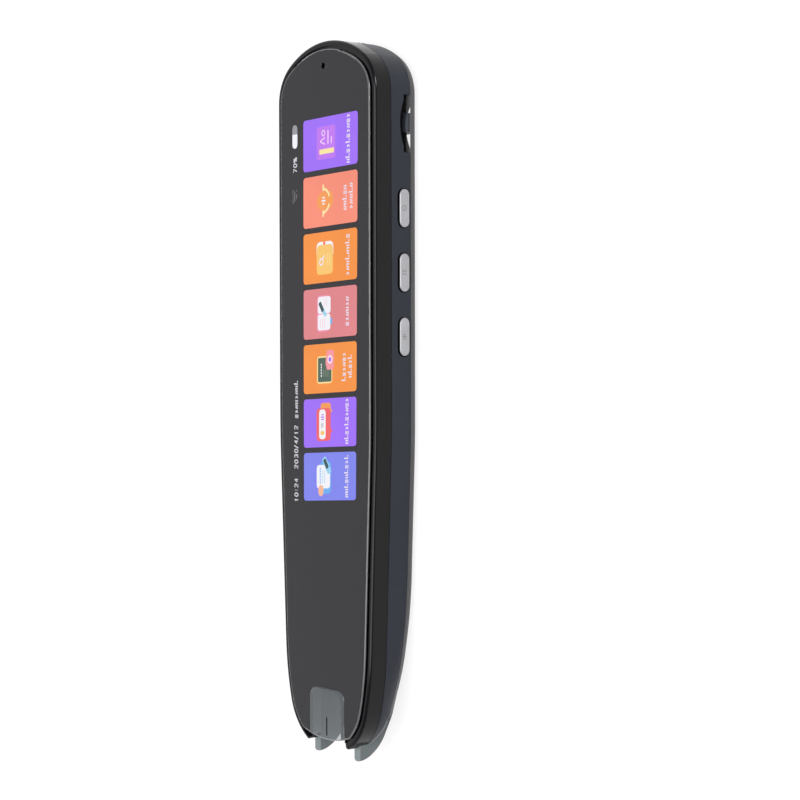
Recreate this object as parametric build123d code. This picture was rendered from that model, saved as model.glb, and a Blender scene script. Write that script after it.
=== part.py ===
from build123d import *
import math
import os

# Handheld translator: a slim scanning pen that lies flat on its back.
# Millimetres. +X runs along the pen to its round end, the scanning nose is at -X, the three buttons
# are on the -Y side, and +Z comes out of the screen. The origin is on the back, under the middle.

# ---------------------------------------------------------------- driving dimensions
LENGTH = 150.3                 # round end to the tips of the nose guides
WIDTH = 33.3
THICKNESS = 12.3               # back to the top of the cover glass
END_RADIUS = 22.0              # middle arc of the round end
SHOULDER_RADIUS = 9.5          # corner arcs of the round end
STRAIGHT_RUN = 65.4            # parallel sides
TAPER_BEND_RADIUS = 250.0      # where the sides start to close in
TAPER_ANGLE = 2.35             # slope of each side in the tapered part, degrees
TAPER_RUN = 39.8
CHEEK_RADIUS = 59.5            # long curve before the tip
CHEEK_ANGLE = 12.06
TIP_RADIUS = 13.0              # corner curve of the tip
TIP_ANGLE = 48.0
LOBE_END_X = -72.35            # ends of the two frame lobes
LOBE_INNER = 6.5               # their inner faces, in front of the glass
LOBE_START_X = -70.6
LOBE_CORNER = 0.7

WALL = 1.5                     # housing and frame walls
FLOOR = WALL                   # inside of the rear cover
BACK_EDGE_RADIUS = 2.67        # rounded edge of the rear cover
Z_SEAM = BACK_EDGE_RADIUS      # seam of rear cover and housing
Z_PARTING = 7.74               # seam of housing and front frame
SEAM_GAP = 0.14                # shadow line of both seams
TONGUE = 0.6                   # thickness of the lips that close the seams from inside

RIM_DROP = 0.4                 # the glass stands proud of the frame by this
Z_RIM = THICKNESS - RIM_DROP
RIM_FILLET = 0.65
RIM_INNER_FILLET = 0.12        # edge of the rim towards the glass
GLASS = 0.8
GLASS_INSET = 1.37             # glass edge in from the outer outline
GLASS_END_PULL = 0.36          # further in than that at the round end
GLASS_GAP = 0.52               # groove round the glass
GLASS_EDGE = 0.45              # round of the glass edge
GLASS_TIP_X = -71.3
GLASS_TIP_RADIUS = 24.0
GASKET = 0.1
LEDGE = 0.8                    # frame ledge that carries the glass
LEDGE_INSET = 3.3
MIC_HOLE = (69.9, 0.0)
MIC_HOLE_RADIUS = 0.62

WINDOW_X = -60.6               # inner end of the scan window
WINDOW_HALF = 5.35
WINDOW_CORNER = 1.9
WINDOW_GAP = 0.03
LINER_INNER = 5.42             # grey liner under the window's edges
LINER_OUTER = 5.8
LINER_X = (-71.0, -59.9)

GUIDE_INNER = 5.83             # nose guides: inner and outer faces
GUIDE_OUTER = 7.8
GUIDE_TOP = 9.11
GUIDE_CORNER = 0.6             # rounded front corners, seen from above
GUIDE_TAIL_X = -59.6           # inner end of the guides
GUIDE_TAIL_Z = 3.0             # their underside inside the shell
NOSE_FLOOR = 2.6               # top of the shell's tongue between the guides
GUIDE_CLEAR = 0.18             # room around the guides where they slide
NOSE_TRAVEL = 0.8

BUTTON_X = (39.8, 26.65, 13.5)
BUTTON_NAMES = ("power_button", "mode_button", "record_button")
BUTTON_LENGTH = 7.8
BUTTON_WIDTH = 2.48
BUTTON_Z = 4.42
BUTTON_PROUD = 0.41
BUTTON_EDGE = 0.12             # chamfer round the cap
BUTTON_END_GAP = 0.25          # room between cap and hole, at the ends and at the sides
BUTTON_SIDE_GAP = 0.39
BUTTON_TRAVEL = 0.3
BUTTON_SPARE = 0.06            # room left when a button is pressed home

SLOT_X0 = 51.2                 # lanyard slot in the side wall
SLOT_X1 = 63.0
SLOT_SHOULDER = 1.1            # straight part of the slot's top at both ends
SLOT_TOP_END = 4.38
SLOT_TOP_MID = 5.36
CHANNEL_X = 56.6               # strap channel from the slot out through the back
CHANNEL_HALF = 4.5
CHANNEL_TOP = 3.6
CHANNEL_SLOPE = 40.0           # degrees below the horizontal
RIB_X = (55.4, 59.35)          # rib that parts the channel in two

CHASSIS_Z = (8.3, 9.3)
BOARD = 0.8
SCREW_PLACES = ((67.0, 9.5), (-2.0, 13.9), (-45.0, 11.6))
SCREW_RADIUS = 0.7
SCREW_HEAD_RADIUS = 1.2
SCREW_HEAD = 0.7
BOSS_RADIUS = 1.3

HALF = WIDTH / 2
BIG = 200.0                    # reach of cutting tools
TIP_BLEND_X = -38.0            # where the back starts to narrow towards the nose
NOSE_STEP = 0.02               # hairline by which the nose starts narrower there


# ---------------------------------------------------------------- plan outline
def outline_steps(inset, end_pull):
    """Right-to-left half of the plan outline as (radius, turn) arcs and (None, length) lines."""
    end_angle = math.degrees(math.asin((HALF - SHOULDER_RADIUS) / (END_RADIUS - SHOULDER_RADIUS)))
    steps = [
        (END_RADIUS, end_angle),
        (SHOULDER_RADIUS, 90 - end_angle),
        (None, STRAIGHT_RUN - end_pull),
        (TAPER_BEND_RADIUS, TAPER_ANGLE),
        (None, TAPER_RUN),
        (CHEEK_RADIUS, CHEEK_ANGLE),
        (TIP_RADIUS, TIP_ANGLE),
    ]
    return [(radius - inset if radius else None, amount) for radius, amount in steps]


def walk_outline(inset, end_pull=0.0):
    """Follow the half outline from the round end's apex and yield each piece with its ends."""
    x, y, heading = LENGTH / 2 - inset - end_pull, 0.0, 90.0
    for radius, amount in outline_steps(inset, end_pull):
        start = (x, y)
        if radius is None:
            x += amount * math.cos(math.radians(heading))
            y += amount * math.sin(math.radians(heading))
            yield ("line", start, (x, y), None, None, heading)
            continue
        normal = math.radians(heading + 90)
        centre = (x + radius * math.cos(normal), y + radius * math.sin(normal))
        first = heading
        heading += amount
        normal = math.radians(heading - 90)
        x = centre[0] + radius * math.cos(normal)
        y = centre[1] + radius * math.sin(normal)
        yield ("arc", start, (x, y), centre, radius, first)
    # the front arc ends on the centre line
    radius = y / math.sin(math.radians(270 - heading))
    centre = (x + radius * math.cos(math.radians(270 - heading)), 0.0)
    yield ("arc", (x, y), (centre[0] - radius, 0.0), centre, radius, heading)


def plan_face(inset=0.0, end_pull=0.0):
    """Face of the whole plan outline, moved in by inset, and by end_pull more at the round end."""
    edges = []
    for kind, start, end, centre, radius, heading in walk_outline(inset, end_pull):
        if kind == "line":
            edges.append(Edge.make_line(start, end))
            edges.append(Edge.make_line((start[0], -start[1]), (end[0], -end[1])))
            continue
        a0 = math.degrees(math.atan2(start[1] - centre[1], start[0] - centre[0]))
        a1 = math.degrees(math.atan2(end[1] - centre[1], end[0] - centre[0]))
        middle = math.radians((a0 + a1) / 2)
        via = (centre[0] + radius * math.cos(middle), centre[1] + radius * math.sin(middle))
        edges.append(Edge.make_three_point_arc(start, via, end))
        edges.append(Edge.make_three_point_arc((start[0], -start[1]), (via[0], -via[1]), (end[0], -end[1])))
    return Face(Wire(edges))


def half_width(x):
    """Half width of the plan outline at x."""
    for kind, start, end, centre, radius, heading in walk_outline(0.0):
        if not end[0] <= x <= start[0]:
            continue
        if kind == "line":
            share = (start[0] - x) / (start[0] - end[0])
            return start[1] + share * (end[1] - start[1])
        return centre[1] + math.sqrt(radius ** 2 - (x - centre[0]) ** 2)
    raise ValueError(x)


# ---------------------------------------------------------------- solid helpers
def prism(face, z0, z1):
    """Extrude a plan face between two heights."""
    return extrude(face.moved(Location((0, 0, z0))), amount=z1 - z0, dir=(0, 0, 1))


def block(x0, x1, y0, y1, z0, z1):
    """Axis-aligned box by its limits."""
    return Pos((x0 + x1) / 2, (y0 + y1) / 2, (z0 + z1) / 2) * Box(x1 - x0, y1 - y0, z1 - z0)


def rod(centre, radius, length, axis):
    """Cylinder about a point along a named axis."""
    turn = {"x": Rot(0, 90, 0), "y": Rot(90, 0, 0), "z": Rot(0, 0, 0)}[axis]
    return Pos(*centre) * turn * Cylinder(radius, length)


def side_prism(edges, y0, y1):
    """Extrude a closed outline drawn in the XZ plane between two Y limits."""
    face = Face(Wire(edges))
    return extrude(face.moved(Location((0, y0, 0))), amount=y1 - y0, dir=(0, 1, 0))


def pill(length, width, depth):
    """Pill-shaped plate in the XZ plane, centred, its thickness along Y."""
    face = make_face(SlotOverall(length, width).wire())
    return Rot(90, 0, 0) * extrude(face, amount=depth / 2, both=True)


def single(shape):
    """The one solid of a shape."""
    solids = shape.solids()
    if len(solids) != 1:
        raise ValueError(f"expected one solid, got {len(solids)}")
    return solids[0]


# ---------------------------------------------------------------- back of the pen
def back_radius(x):
    """Radius of the back's edge, which grows towards the nose."""
    share = max(0.0, (TIP_BLEND_X - x) / 28.0)
    return BACK_EDGE_RADIUS + 5.03 * share ** 1.5


def back_height(x):
    """Height of the back above the table, which lifts a little towards the nose."""
    return 0.8 * max(0.0, (-43.0 - x) / 22.0) ** 1.5


def back_section(x, inset, top):
    """Cross-section of the lower body at x: flat back, round edges, upright sides."""
    w = half_width(x) - inset - NOSE_STEP
    z = back_height(x) + inset
    r = min(back_radius(x) - inset, w - 0.3, top - z - 0.3)
    c = math.sqrt(0.5) * r
    edges = [
        Edge.make_line((x, -w, top), (x, -w, z + r)),
        Edge.make_three_point_arc((x, -w, z + r), (x, -w + r - c, z + r - c), (x, -w + r, z)),
        Edge.make_line((x, -w + r, z), (x, w - r, z)),
        Edge.make_three_point_arc((x, w - r, z), (x, w - r + c, z + r - c), (x, w, z + r)),
        Edge.make_line((x, w, z + r), (x, w, top)),
        Edge.make_line((x, w, top), (x, -w, top)),
    ]
    return Face(Wire(edges))


def lower_body(inset, top):
    """The housing and rear cover together as one solid block."""
    body = prism(plan_face(inset), inset, top)
    bottom = body.faces().sort_by(Axis.Z)[0]
    body = fillet(bottom.edges(), BACK_EDGE_RADIUS - inset)
    body = body & block(TIP_BLEND_X, BIG, -BIG, BIG, -1, BIG)
    stations = (-38.0, -42.0, -46.0, -50.0, -54.0, -58.0, -61.0, -64.0, -66.0, -68.0, -69.5, -70.7, -71.6, -72.1)
    nose = loft([back_section(x, inset, top) for x in stations])
    return single(body + nose)


# ---------------------------------------------------------------- nose outline in side view
COVER_END_CENTRE = (-52.3, 8.0)        # the cover's open end is an arc in side view
COVER_END_RADIUS = 14.0
HOUSING_END = ((-66.0, 4.8), (-73.0, 7.5))   # the housing's lower edge runs out along this line


def cover_end_cutter():
    """Everything in front of the curved open end of the rear cover."""
    ball = rod((COVER_END_CENTRE[0], 0, COVER_END_CENTRE[1]), COVER_END_RADIUS, BIG, "y")
    return block(-90, COVER_END_CENTRE[0] - 8.0, -30, 30, -5, Z_PARTING + 2) - ball


def housing_end_cutter():
    """Everything under the line along which the housing's sides run out at the nose."""
    (x0, z0), (x1, z1) = HOUSING_END
    corners = [(x0, 0, z0), (x1, 0, z1), (x1, 0, -5), (x0, 0, -5)]
    edges = [Edge.make_line(corners[i - 1], corners[i]) for i in range(len(corners))]
    return side_prism(edges, -30, 30)


def guide_edges():
    """Side view of one nose guide."""
    tip = -LENGTH / 2
    top_back = (GUIDE_TAIL_X, 0, GUIDE_TOP)
    top_front = (tip, 0, GUIDE_TOP)
    front_low = (tip, 0, 8.9)
    belly = (-73.35, 0, 5.05)
    belly_end = (-70.8, 0, 2.75)
    heel = (-66.4, 0, 0.46)
    step = (-65.4, 0, GUIDE_TAIL_Z)
    tail = (GUIDE_TAIL_X, 0, GUIDE_TAIL_Z)
    return [
        Edge.make_line(top_back, top_front),
        Edge.make_line(top_front, front_low),
        Edge.make_three_point_arc(front_low, belly, belly_end),
        Edge.make_line(belly_end, heel),
        Edge.make_line(heel, step),
        Edge.make_line(step, tail),
        Edge.make_line(tail, top_back),
    ]


def guide_room(z_top):
    """Space that both guides sweep as the nose slides, with clearance."""
    room = []
    y0 = GUIDE_INNER - GUIDE_CLEAR
    y1 = GUIDE_OUTER + GUIDE_CLEAR
    inner_end = GUIDE_TAIL_X + NOSE_TRAVEL + 2 * GUIDE_CLEAR + 0.4
    for side in (-1, 1):
        low, high = sorted((side * y0, side * y1))
        room.append(block(-90, inner_end, low, high, NOSE_FLOOR, z_top))
        room.append(block(-90, -64.2, low, high, -1, GUIDE_TAIL_Z))
    room.append(block(-90, -62.0, -y0, y0, NOSE_FLOOR, z_top + 3))
    return room


# ---------------------------------------------------------------- housing and rear cover
SEAM_CLIMB_X = (-35.0, -54.0, -80.0)   # the seam is an arc through these, towards the nose
SEAM_CLIMB = (0.0, 0.97, 5.47)


def seam_edges(lift):
    """Side view of everything under the seam, which climbs towards the nose."""
    z = Z_SEAM + lift
    start, middle, end = [(x, 0, z + rise) for x, rise in zip(SEAM_CLIMB_X, SEAM_CLIMB)]
    corners = [(80, 0, z), (80, 0, -5), (-80, 0, -5)]
    return [
        Edge.make_line(corners[0], start),
        Edge.make_three_point_arc(start, middle, end),
        Edge.make_line(end, corners[2]),
        Edge.make_line(corners[2], corners[1]),
        Edge.make_line(corners[1], corners[0]),
    ]


def make_shells():
    """Housing and rear cover, cut from one block so that their outsides run on."""
    outer = lower_body(0.0, Z_PARTING)
    cavity = lower_body(WALL, Z_PARTING + 3)
    cavity = cavity & block(-70, BIG, -BIG, BIG, FLOOR, BIG)

    below = side_prism(seam_edges(-SEAM_GAP), -30, 30)
    above = block(-90, 90, -30, 30, -10, 30) - side_prism(seam_edges(0.0), -30, 30)

    cover = (outer - cavity - cover_end_cutter()) & below
    housing = (outer - cavity - housing_end_cutter()) & above
    housing = housing & block(-90, 90, -30, 30, -1, Z_PARTING - SEAM_GAP / 2)

    for room in guide_room(Z_PARTING + 1):
        cover = cover - room
        housing = housing - room
    return housing, cover, cavity


def tongue_ring(z0, z1, outer_inset):
    """Thin upright lip along the inside of a seam, left open at the nose."""
    ring = prism(plan_face(outer_inset), z0, z1) - prism(plan_face(outer_inset + TONGUE), z0 - 1, z1 + 1)
    return ring & block(-40, 90, -30, 30, z0, z1)


def lanyard_slot():
    """Opening in the side wall, with a front edge that bows towards the screen."""
    top_middle = ((SLOT_X0 + SLOT_X1) / 2, 0, SLOT_TOP_MID)
    foot_0 = (SLOT_X0, 0, Z_SEAM - 1)
    top_0 = (SLOT_X0, 0, SLOT_TOP_END)
    shoulder_0 = (SLOT_X0 + SLOT_SHOULDER, 0, SLOT_TOP_END)
    shoulder_1 = (SLOT_X1 - SLOT_SHOULDER, 0, SLOT_TOP_END)
    top_1 = (SLOT_X1, 0, SLOT_TOP_END)
    foot_1 = (SLOT_X1, 0, Z_SEAM - 1)
    edges = [
        Edge.make_line(foot_0, top_0),
        Edge.make_line(top_0, shoulder_0),
        Edge.make_three_point_arc(shoulder_0, top_middle, shoulder_1),
        Edge.make_line(shoulder_1, top_1),
        Edge.make_line(top_1, foot_1),
        Edge.make_line(foot_1, foot_0),
    ]
    return side_prism(edges, -HALF - 1, -HALF + WALL + 0.6)


def lens_edges(low):
    """Lens-shaped outline of the strap channel's mouth in side view, flat below at height low."""
    end_0 = (CHANNEL_X - CHANNEL_HALF, 0, low)
    end_1 = (CHANNEL_X + CHANNEL_HALF, 0, low)
    return [
        Edge.make_line(end_0, end_1),
        Edge.make_three_point_arc(end_1, (CHANNEL_X, 0, CHANNEL_TOP), end_0),
    ]


CHANNEL_LIP = 0.15                     # flat left on the cover's edge before the channel falls away


def strap_channel():
    """Slanted passage from the slot to the back, parted by the rib."""
    mouth = Face(Wire(lens_edges(Z_SEAM - SEAM_GAP)))
    slope = math.radians(CHANNEL_SLOPE)
    start = Location((0, -HALF + CHANNEL_LIP, 0))
    channel = extrude(mouth.moved(start), amount=9.0, dir=(0, math.cos(slope), -math.sin(slope)))
    return channel - block(*RIB_X, -30, 30, -20, 20)


USB_Z = 5.3
USB_OPENING = (9.2, 3.3)               # width and height of the connector opening


def usb_cutter(width, height, x0, x1):
    """Pill-shaped passage through the round end."""
    face = make_face(SlotOverall(width, height).wire())
    tool = extrude(face, amount=(x1 - x0) / 2, both=True)
    return Pos((x0 + x1) / 2, 0, USB_Z) * Rot(0, 90, 0) * Rot(0, 0, 90) * tool


def add_housing_details(housing):
    """Buttons' holes, lanyard slot, connector opening, screw lugs and the inner lip."""
    for x in BUTTON_X:
        hole = pill(BUTTON_LENGTH + 2 * BUTTON_END_GAP, BUTTON_WIDTH + 2 * BUTTON_SIDE_GAP, 6)
        housing = housing - Pos(x, -HALF, BUTTON_Z) * hole
    housing = housing - lanyard_slot()
    housing = housing - usb_cutter(*USB_OPENING, 72, 80)
    lug_top = CHASSIS_Z[0]
    inside_frame = prism(plan_face(WALL + 0.05), 0, lug_top)
    inside_wall = prism(plan_face(WALL - 0.4), 0, lug_top)
    for x, y in SCREW_PLACES:
        for side in (-1, 1):
            lug = rod((x, side * y, lug_top - 0.55), 2.1, 1.1, "z")
            reach = sorted((side * y, side * (half_width(x) - 0.8)))
            web = block(x - 1.4, x + 1.4, *reach, lug_top - 1.1, Z_PARTING - 0.2)
            lug = lug & inside_frame
            web = web & inside_wall
            hole = rod((x, side * y, lug_top - 1), SCREW_RADIUS + 0.1, 4, "z")
            housing = housing + lug + web - hole
    root = prism(plan_face(WALL - 0.2), Z_PARTING - 0.8, Z_PARTING - SEAM_GAP / 2)
    root = root - prism(plan_face(WALL + 0.05 + TONGUE), 0, 20)
    lip = tongue_ring(Z_PARTING - 0.4, Z_PARTING + 0.45, WALL + 0.05)
    lip = lip + (root & block(-40, 90, -30, 30, 0, 20))
    for x, y in SCREW_PLACES:
        for side in (-1, 1):
            lip = lip - rod((x, side * y, lug_top), 1.6, 4, "z")
    return housing + lip


GRILLE_X = 53.5
GRILLE_Y = 5.0
GRILLE_PITCH = 1.7
GRILLE_HOLE = 0.5


def add_cover_details(cover):
    """Strap channel, speaker grille and the lip that snaps into the housing."""
    lip = tongue_ring(Z_SEAM - 0.9, Z_SEAM + 0.7, WALL + 0.05)
    lip = lip - block(SLOT_X0 - 2, SLOT_X1 + 2, -HALF, -11, 0, 9)
    for x in BUTTON_X:
        lip = lip - block(x - 5, x + 5, -HALF, -HALF + 4, 0, 9)
    cover = cover + lip
    cover = cover - strap_channel()
    for column in range(-3, 4):
        for row in range(-2, 3):
            if abs(column) == 3 and abs(row) == 2:
                continue
            place = (GRILLE_X + column * GRILLE_PITCH, GRILLE_Y + row * GRILLE_PITCH, 0)
            cover = cover - rod(place, GRILLE_HOLE, 6, "z")
    return cover


# ---------------------------------------------------------------- front frame
DISPLAY_OPENING_X = (-27.5, 64.6)


def front_trim():
    """Everything in front of the gently curved front edge of the glass."""
    cylinder = rod((GLASS_TIP_X + GLASS_TIP_RADIUS, 0, THICKNESS), GLASS_TIP_RADIUS, 6, "z")
    return block(-90, GLASS_TIP_X + 3, -30, 30, THICKNESS - 3, THICKNESS + 3) - cylinder


def lobe_gap():
    """Room between the two lobes in front of the glass, with their inner corners rounded off."""
    gap = block(-90, LOBE_START_X, -LOBE_INNER, LOBE_INNER, 0, 20)
    x = LOBE_END_X + LOBE_CORNER
    for side in (-1, 1):
        y = side * (LOBE_INNER + LOBE_CORNER)
        low, high = sorted((side * (LOBE_INNER - 1), y))
        gap = gap + (block(-90, x, low, high, 0, 20) - rod((x, y, 10), LOBE_CORNER, 30, "z"))
    return gap


def make_front_frame():
    """Black ring that carries the glass; two lobes reach past the glass at the nose."""
    z0 = Z_PARTING + SEAM_GAP / 2
    frame = prism(plan_face(0), z0, Z_RIM)
    frame = fillet(frame.faces().sort_by(Axis.Z)[-1].edges(), RIM_FILLET)
    pocket = plan_face(GLASS_INSET - GLASS_GAP, GLASS_END_PULL)
    frame = frame - prism(pocket, THICKNESS - GLASS - GASKET, 20)
    pocket_wall = pocket.outer_wire().moved(Location((0, 0, Z_RIM)))
    rim_edges = frame.faces().sort_by(Axis.Z)[-1].edges()
    inner_edges = [edge for edge in rim_edges if pocket_wall.distance_to(edge @ 0.5) < 0.01]
    frame = fillet(inner_edges, RIM_INNER_FILLET) & block(LOBE_END_X, 90, -30, 30, 0, 20)
    frame = frame - (prism(plan_face(LEDGE_INSET), 0, 20) & block(*DISPLAY_OPENING_X, -30, 30, 0, 20))
    frame = frame - rod((*MIC_HOLE, THICKNESS), MIC_HOLE_RADIUS + 1.2, 4, "z")
    hollow = prism(plan_face(WALL), 0, THICKNESS - GLASS - GASKET - LEDGE)
    frame = frame - (hollow & block(-62.5, 90, -30, 30, 0, 20))
    frame = frame - block(-90, -57.0, -LINER_OUTER - 0.05, LINER_OUTER + 0.05, 0, 20) - lobe_gap()
    for room in guide_room(GUIDE_TOP + GUIDE_CLEAR):
        frame = frame - room
    ledge_low = THICKNESS - GLASS - GASKET - LEDGE
    for x, y in SCREW_PLACES:
        for side in (-1, 1):
            boss_top = ledge_low + 0.4
            boss_middle = (x, side * y, (CHASSIS_Z[1] + boss_top) / 2)
            boss = rod(boss_middle, BOSS_RADIUS, boss_top - CHASSIS_Z[1], "z")
            boss = boss & prism(plan_face(WALL - 0.3), 0, 20)
            hole = rod((x, side * y, CHASSIS_Z[1]), SCREW_RADIUS + 0.05, 2.2, "z")
            frame = frame + boss - hole
    return single(frame)


# ---------------------------------------------------------------- glass and display
DISPLAY_X = (-25.0, 63.0)
DISPLAY_HALF = 12.2
DISPLAY_Z = (10.65, 11.45)
BACKLIGHT_Z = (9.3, 10.65)


def window_face(grow):
    """Plan of the scan window, open towards the nose."""
    corner = WINDOW_CORNER + grow
    half = WINDOW_HALF + grow
    x1 = WINDOW_X + grow
    c = math.sqrt(0.5) * corner
    low_corner = (x1 - corner + c, -half + corner - c)
    high_corner = (x1 - corner + c, half - corner + c)
    edges = [
        Edge.make_line((-80, -half), (x1 - corner, -half)),
        Edge.make_three_point_arc((x1 - corner, -half), low_corner, (x1, -half + corner)),
        Edge.make_line((x1, -half + corner), (x1, half - corner)),
        Edge.make_three_point_arc((x1, half - corner), high_corner, (x1 - corner, half)),
        Edge.make_line((x1 - corner, half), (-80, half)),
        Edge.make_line((-80, half), (-80, -half)),
    ]
    return Face(Wire(edges))


def make_glass():
    """Cover glass with a rounded edge, and the smoky window let into its nose end."""
    slab = prism(plan_face(GLASS_INSET, GLASS_END_PULL), THICKNESS - GLASS, THICKNESS)
    slab = slab - front_trim()
    top_edges = slab.faces().sort_by(Axis.Z)[-1].edges()
    slab = single(fillet(top_edges, GLASS_EDGE))
    window = single(slab & prism(window_face(-WINDOW_GAP), 0, 20))
    glass = slab - prism(window_face(0), 0, 20)
    glass = glass - rod((*MIC_HOLE, THICKNESS), MIC_HOLE_RADIUS, 4, "z")
    return single(glass), window


def make_gasket():
    """Black adhesive sheet between glass and frame, open over the display, window and microphone."""
    z0 = THICKNESS - GLASS - GASKET
    sheet = prism(plan_face(GLASS_INSET + 0.25, GLASS_END_PULL), z0, z0 + GASKET)
    half = DISPLAY_HALF + 0.1
    sheet = sheet - block(DISPLAY_X[0] - 0.1, DISPLAY_X[1] + 0.1, -half, half, 0, 20)
    sheet = sheet - prism(window_face(0.2), 0, 20)
    sheet = sheet - rod((*MIC_HOLE, z0), MIC_HOLE_RADIUS + 0.1, 4, "z")
    return single(sheet)


def make_window_liner():
    """Three-sided grey liner that hides the frame's cut edges from the scan window."""
    z0 = GUIDE_TOP + GUIDE_CLEAR
    z1 = THICKNESS - GLASS - GASKET
    liner = block(*LINER_X, -LINER_OUTER, LINER_OUTER, z0, z1)
    inner_end = LINER_X[1] - (LINER_OUTER - LINER_INNER)
    return liner - block(-90, inner_end, -LINER_INNER, LINER_INNER, 0, 20)


def make_display():
    """Display cell, with its backlight frame resting on the chassis."""
    panel = block(*DISPLAY_X, -DISPLAY_HALF, DISPLAY_HALF, *DISPLAY_Z)
    half = DISPLAY_HALF + 0.3
    frame = block(DISPLAY_X[0] - 1.5, DISPLAY_X[1] + 0.8, -half, half, *BACKLIGHT_Z)
    frame = chamfer(frame.edges().filter_by(Axis.Z), 0.5)
    return panel, frame


# ---------------------------------------------------------------- chassis and screws
BULKHEAD_X = (-55.2, -54.0)
LENS_Z = 5.8
LENS_RADIUS = 2.0


def make_chassis():
    """Inner plate that everything is screwed to, with the bulkhead behind the nose."""
    plate = prism(plan_face(WALL + 0.1), *CHASSIS_Z) & block(BULKHEAD_X[0], 90, -30, 30, 0, 20)
    wall_top = CHASSIS_Z[0]
    bulkhead = block(*BULKHEAD_X, -11.2, 11.2, 3.2, wall_top)
    trims = [rod((BULKHEAD_X[0], side * 6.0, 8.5), 5.9, 5, "x") for side in (-1, 1)]
    core = block(BULKHEAD_X[0] - 1, BULKHEAD_X[1] + 1, -6.0, 6.0, 0, 20)
    bulkhead = bulkhead & (trims[0] + trims[1] + core)
    chassis = plate + bulkhead
    chassis = chassis - rod((BULKHEAD_X[0], 0, LENS_Z), LENS_RADIUS + 0.3, 6, "x")
    for x, y in SCREW_PLACES:
        for side in (-1, 1):
            chassis = chassis - rod((x, side * y, 9), SCREW_RADIUS + 0.15, 4, "z")
    chassis = chassis - block(-45.2, -43.9, -6.6, 0.1, 8, 10)      # display cable
    for x in (-16.0, 2.0, 20.0):                                    # weight-saving windows
        chassis = chassis - block(x - 5, x + 5, -5, 5, 8, 8.7)
    return single(chassis)


def make_screws():
    """Six small screws that hold housing, chassis and frame together."""
    screws = []
    top = CHASSIS_Z[1] + 0.9
    head_top = CHASSIS_Z[0] - 1.1
    for x, y in SCREW_PLACES:
        for side in (-1, 1):
            shank = rod((x, side * y, (head_top + top) / 2), SCREW_RADIUS, top - head_top, "z")
            head = rod((x, side * y, head_top - SCREW_HEAD / 2), SCREW_HEAD_RADIUS, SCREW_HEAD, "z")
            cross = block(x - 0.8, x + 0.8, side * y - 0.15, side * y + 0.15, head_top - SCREW_HEAD - 1,
                          head_top - SCREW_HEAD + 0.35)
            turned = Pos(x, side * y, 0) * Rot(0, 0, 90) * Pos(-x, -side * y, 0) * cross
            screws.append(single(shank + head - cross - turned))
    return Compound(screws)


# ---------------------------------------------------------------- boards and electronics
MAIN_BOARD_Z = (7.5, 8.3)


def make_main_board():
    """Main board under the chassis."""
    board = block(-42.5, 40.0, -10.6, 10.6, *MAIN_BOARD_Z)
    board = fillet(board.edges().filter_by(Axis.Z), 1.0)
    return board


def make_chips():
    """Processor, memory, power and radio parts on the underside of the main board."""
    chips = []
    for x, y, length, width, height in (
        (-6.0, 0.0, 13.0, 13.0, 1.2),
        (11.0, 2.0, 11.5, 13.0, 1.0),
        (26.0, -3.0, 7.0, 7.0, 0.9),
        (27.0, 6.0, 5.0, 4.0, 0.8),
        (-22.0, 3.0, 12.0, 12.0, 1.6),
        (-22.0, -7.5, 4.0, 3.2, 0.9),
        (35.5, 0.0, 3.6, 12.0, 1.4),
        (-40.5, 0.0, 3.6, 12.0, 1.2),
    ):
        z = MAIN_BOARD_Z[0]
        chips.append(block(x - length / 2, x + length / 2, y - width / 2, y + width / 2, z - height, z))
    return Compound([chip.solids()[0] for chip in chips])


def make_battery():
    """Lithium pouch cell with its protection board and adhesive pad."""
    cell = block(-38.0, 30.0, -10.8, 12.2, 1.7, 5.6)
    cell = fillet(cell.edges().filter_by(Axis.X), 1.2)
    pad = block(-34.0, 26.0, -8.0, 9.4, FLOOR, 1.7)
    board = block(30.0, 33.4, -8.0, 9.4, 2.6, 3.8)
    return cell, pad, board


KEY_BOARD_Y = -12.8            # face of the key board that carries the switches
SWITCH_Y = -13.55              # front of the switch bodies
PLUNGER_Y = -13.77             # front of their plungers
SWITCH_HALF = 1.6


def make_side_keys():
    """Upright key board inside the side wall with three tactile switches."""
    board = block(BUTTON_X[2] - 6.5, BUTTON_X[0] + 6.7, KEY_BOARD_Y, KEY_BOARD_Y + 0.6, 2.4, 7.4)
    switches = []
    for x in BUTTON_X:
        body = block(x - SWITCH_HALF, x + SWITCH_HALF, SWITCH_Y, KEY_BOARD_Y, BUTTON_Z - 1.5, BUTTON_Z + 1.5)
        plunger = rod((x, (PLUNGER_Y + SWITCH_Y) / 2, BUTTON_Z), 0.6, SWITCH_Y - PLUNGER_Y, "y")
        switches.append(single(body + plunger))
    return board, Compound(switches)


def make_button():
    """Pill-shaped key cap with a chamfered rim, a retaining flange and a stem, at x = 0."""
    outer_y = -HALF - BUTTON_PROUD
    inner_y = -HALF + WALL + 0.1
    cap_depth = inner_y - outer_y
    cap = Pos(0, (outer_y + inner_y) / 2, BUTTON_Z) * pill(BUTTON_LENGTH, BUTTON_WIDTH, cap_depth)
    rim = cap.faces().sort_by(Axis.Y)[0].edges()
    cap = chamfer(rim, BUTTON_EDGE)
    flange = Pos(0, inner_y + 0.25, BUTTON_Z) * pill(BUTTON_LENGTH + 1.6, BUTTON_WIDTH + 1.3, 0.5)
    flange = flange & block(-9, 9, -20, 0, 2.9, 8)
    stem_end = PLUNGER_Y - BUTTON_TRAVEL - BUTTON_SPARE
    stem = rod((0, (inner_y + 0.4 + stem_end) / 2, BUTTON_Z), 0.8, stem_end - inner_y - 0.4, "y")
    return single(cap + flange + stem)


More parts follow.
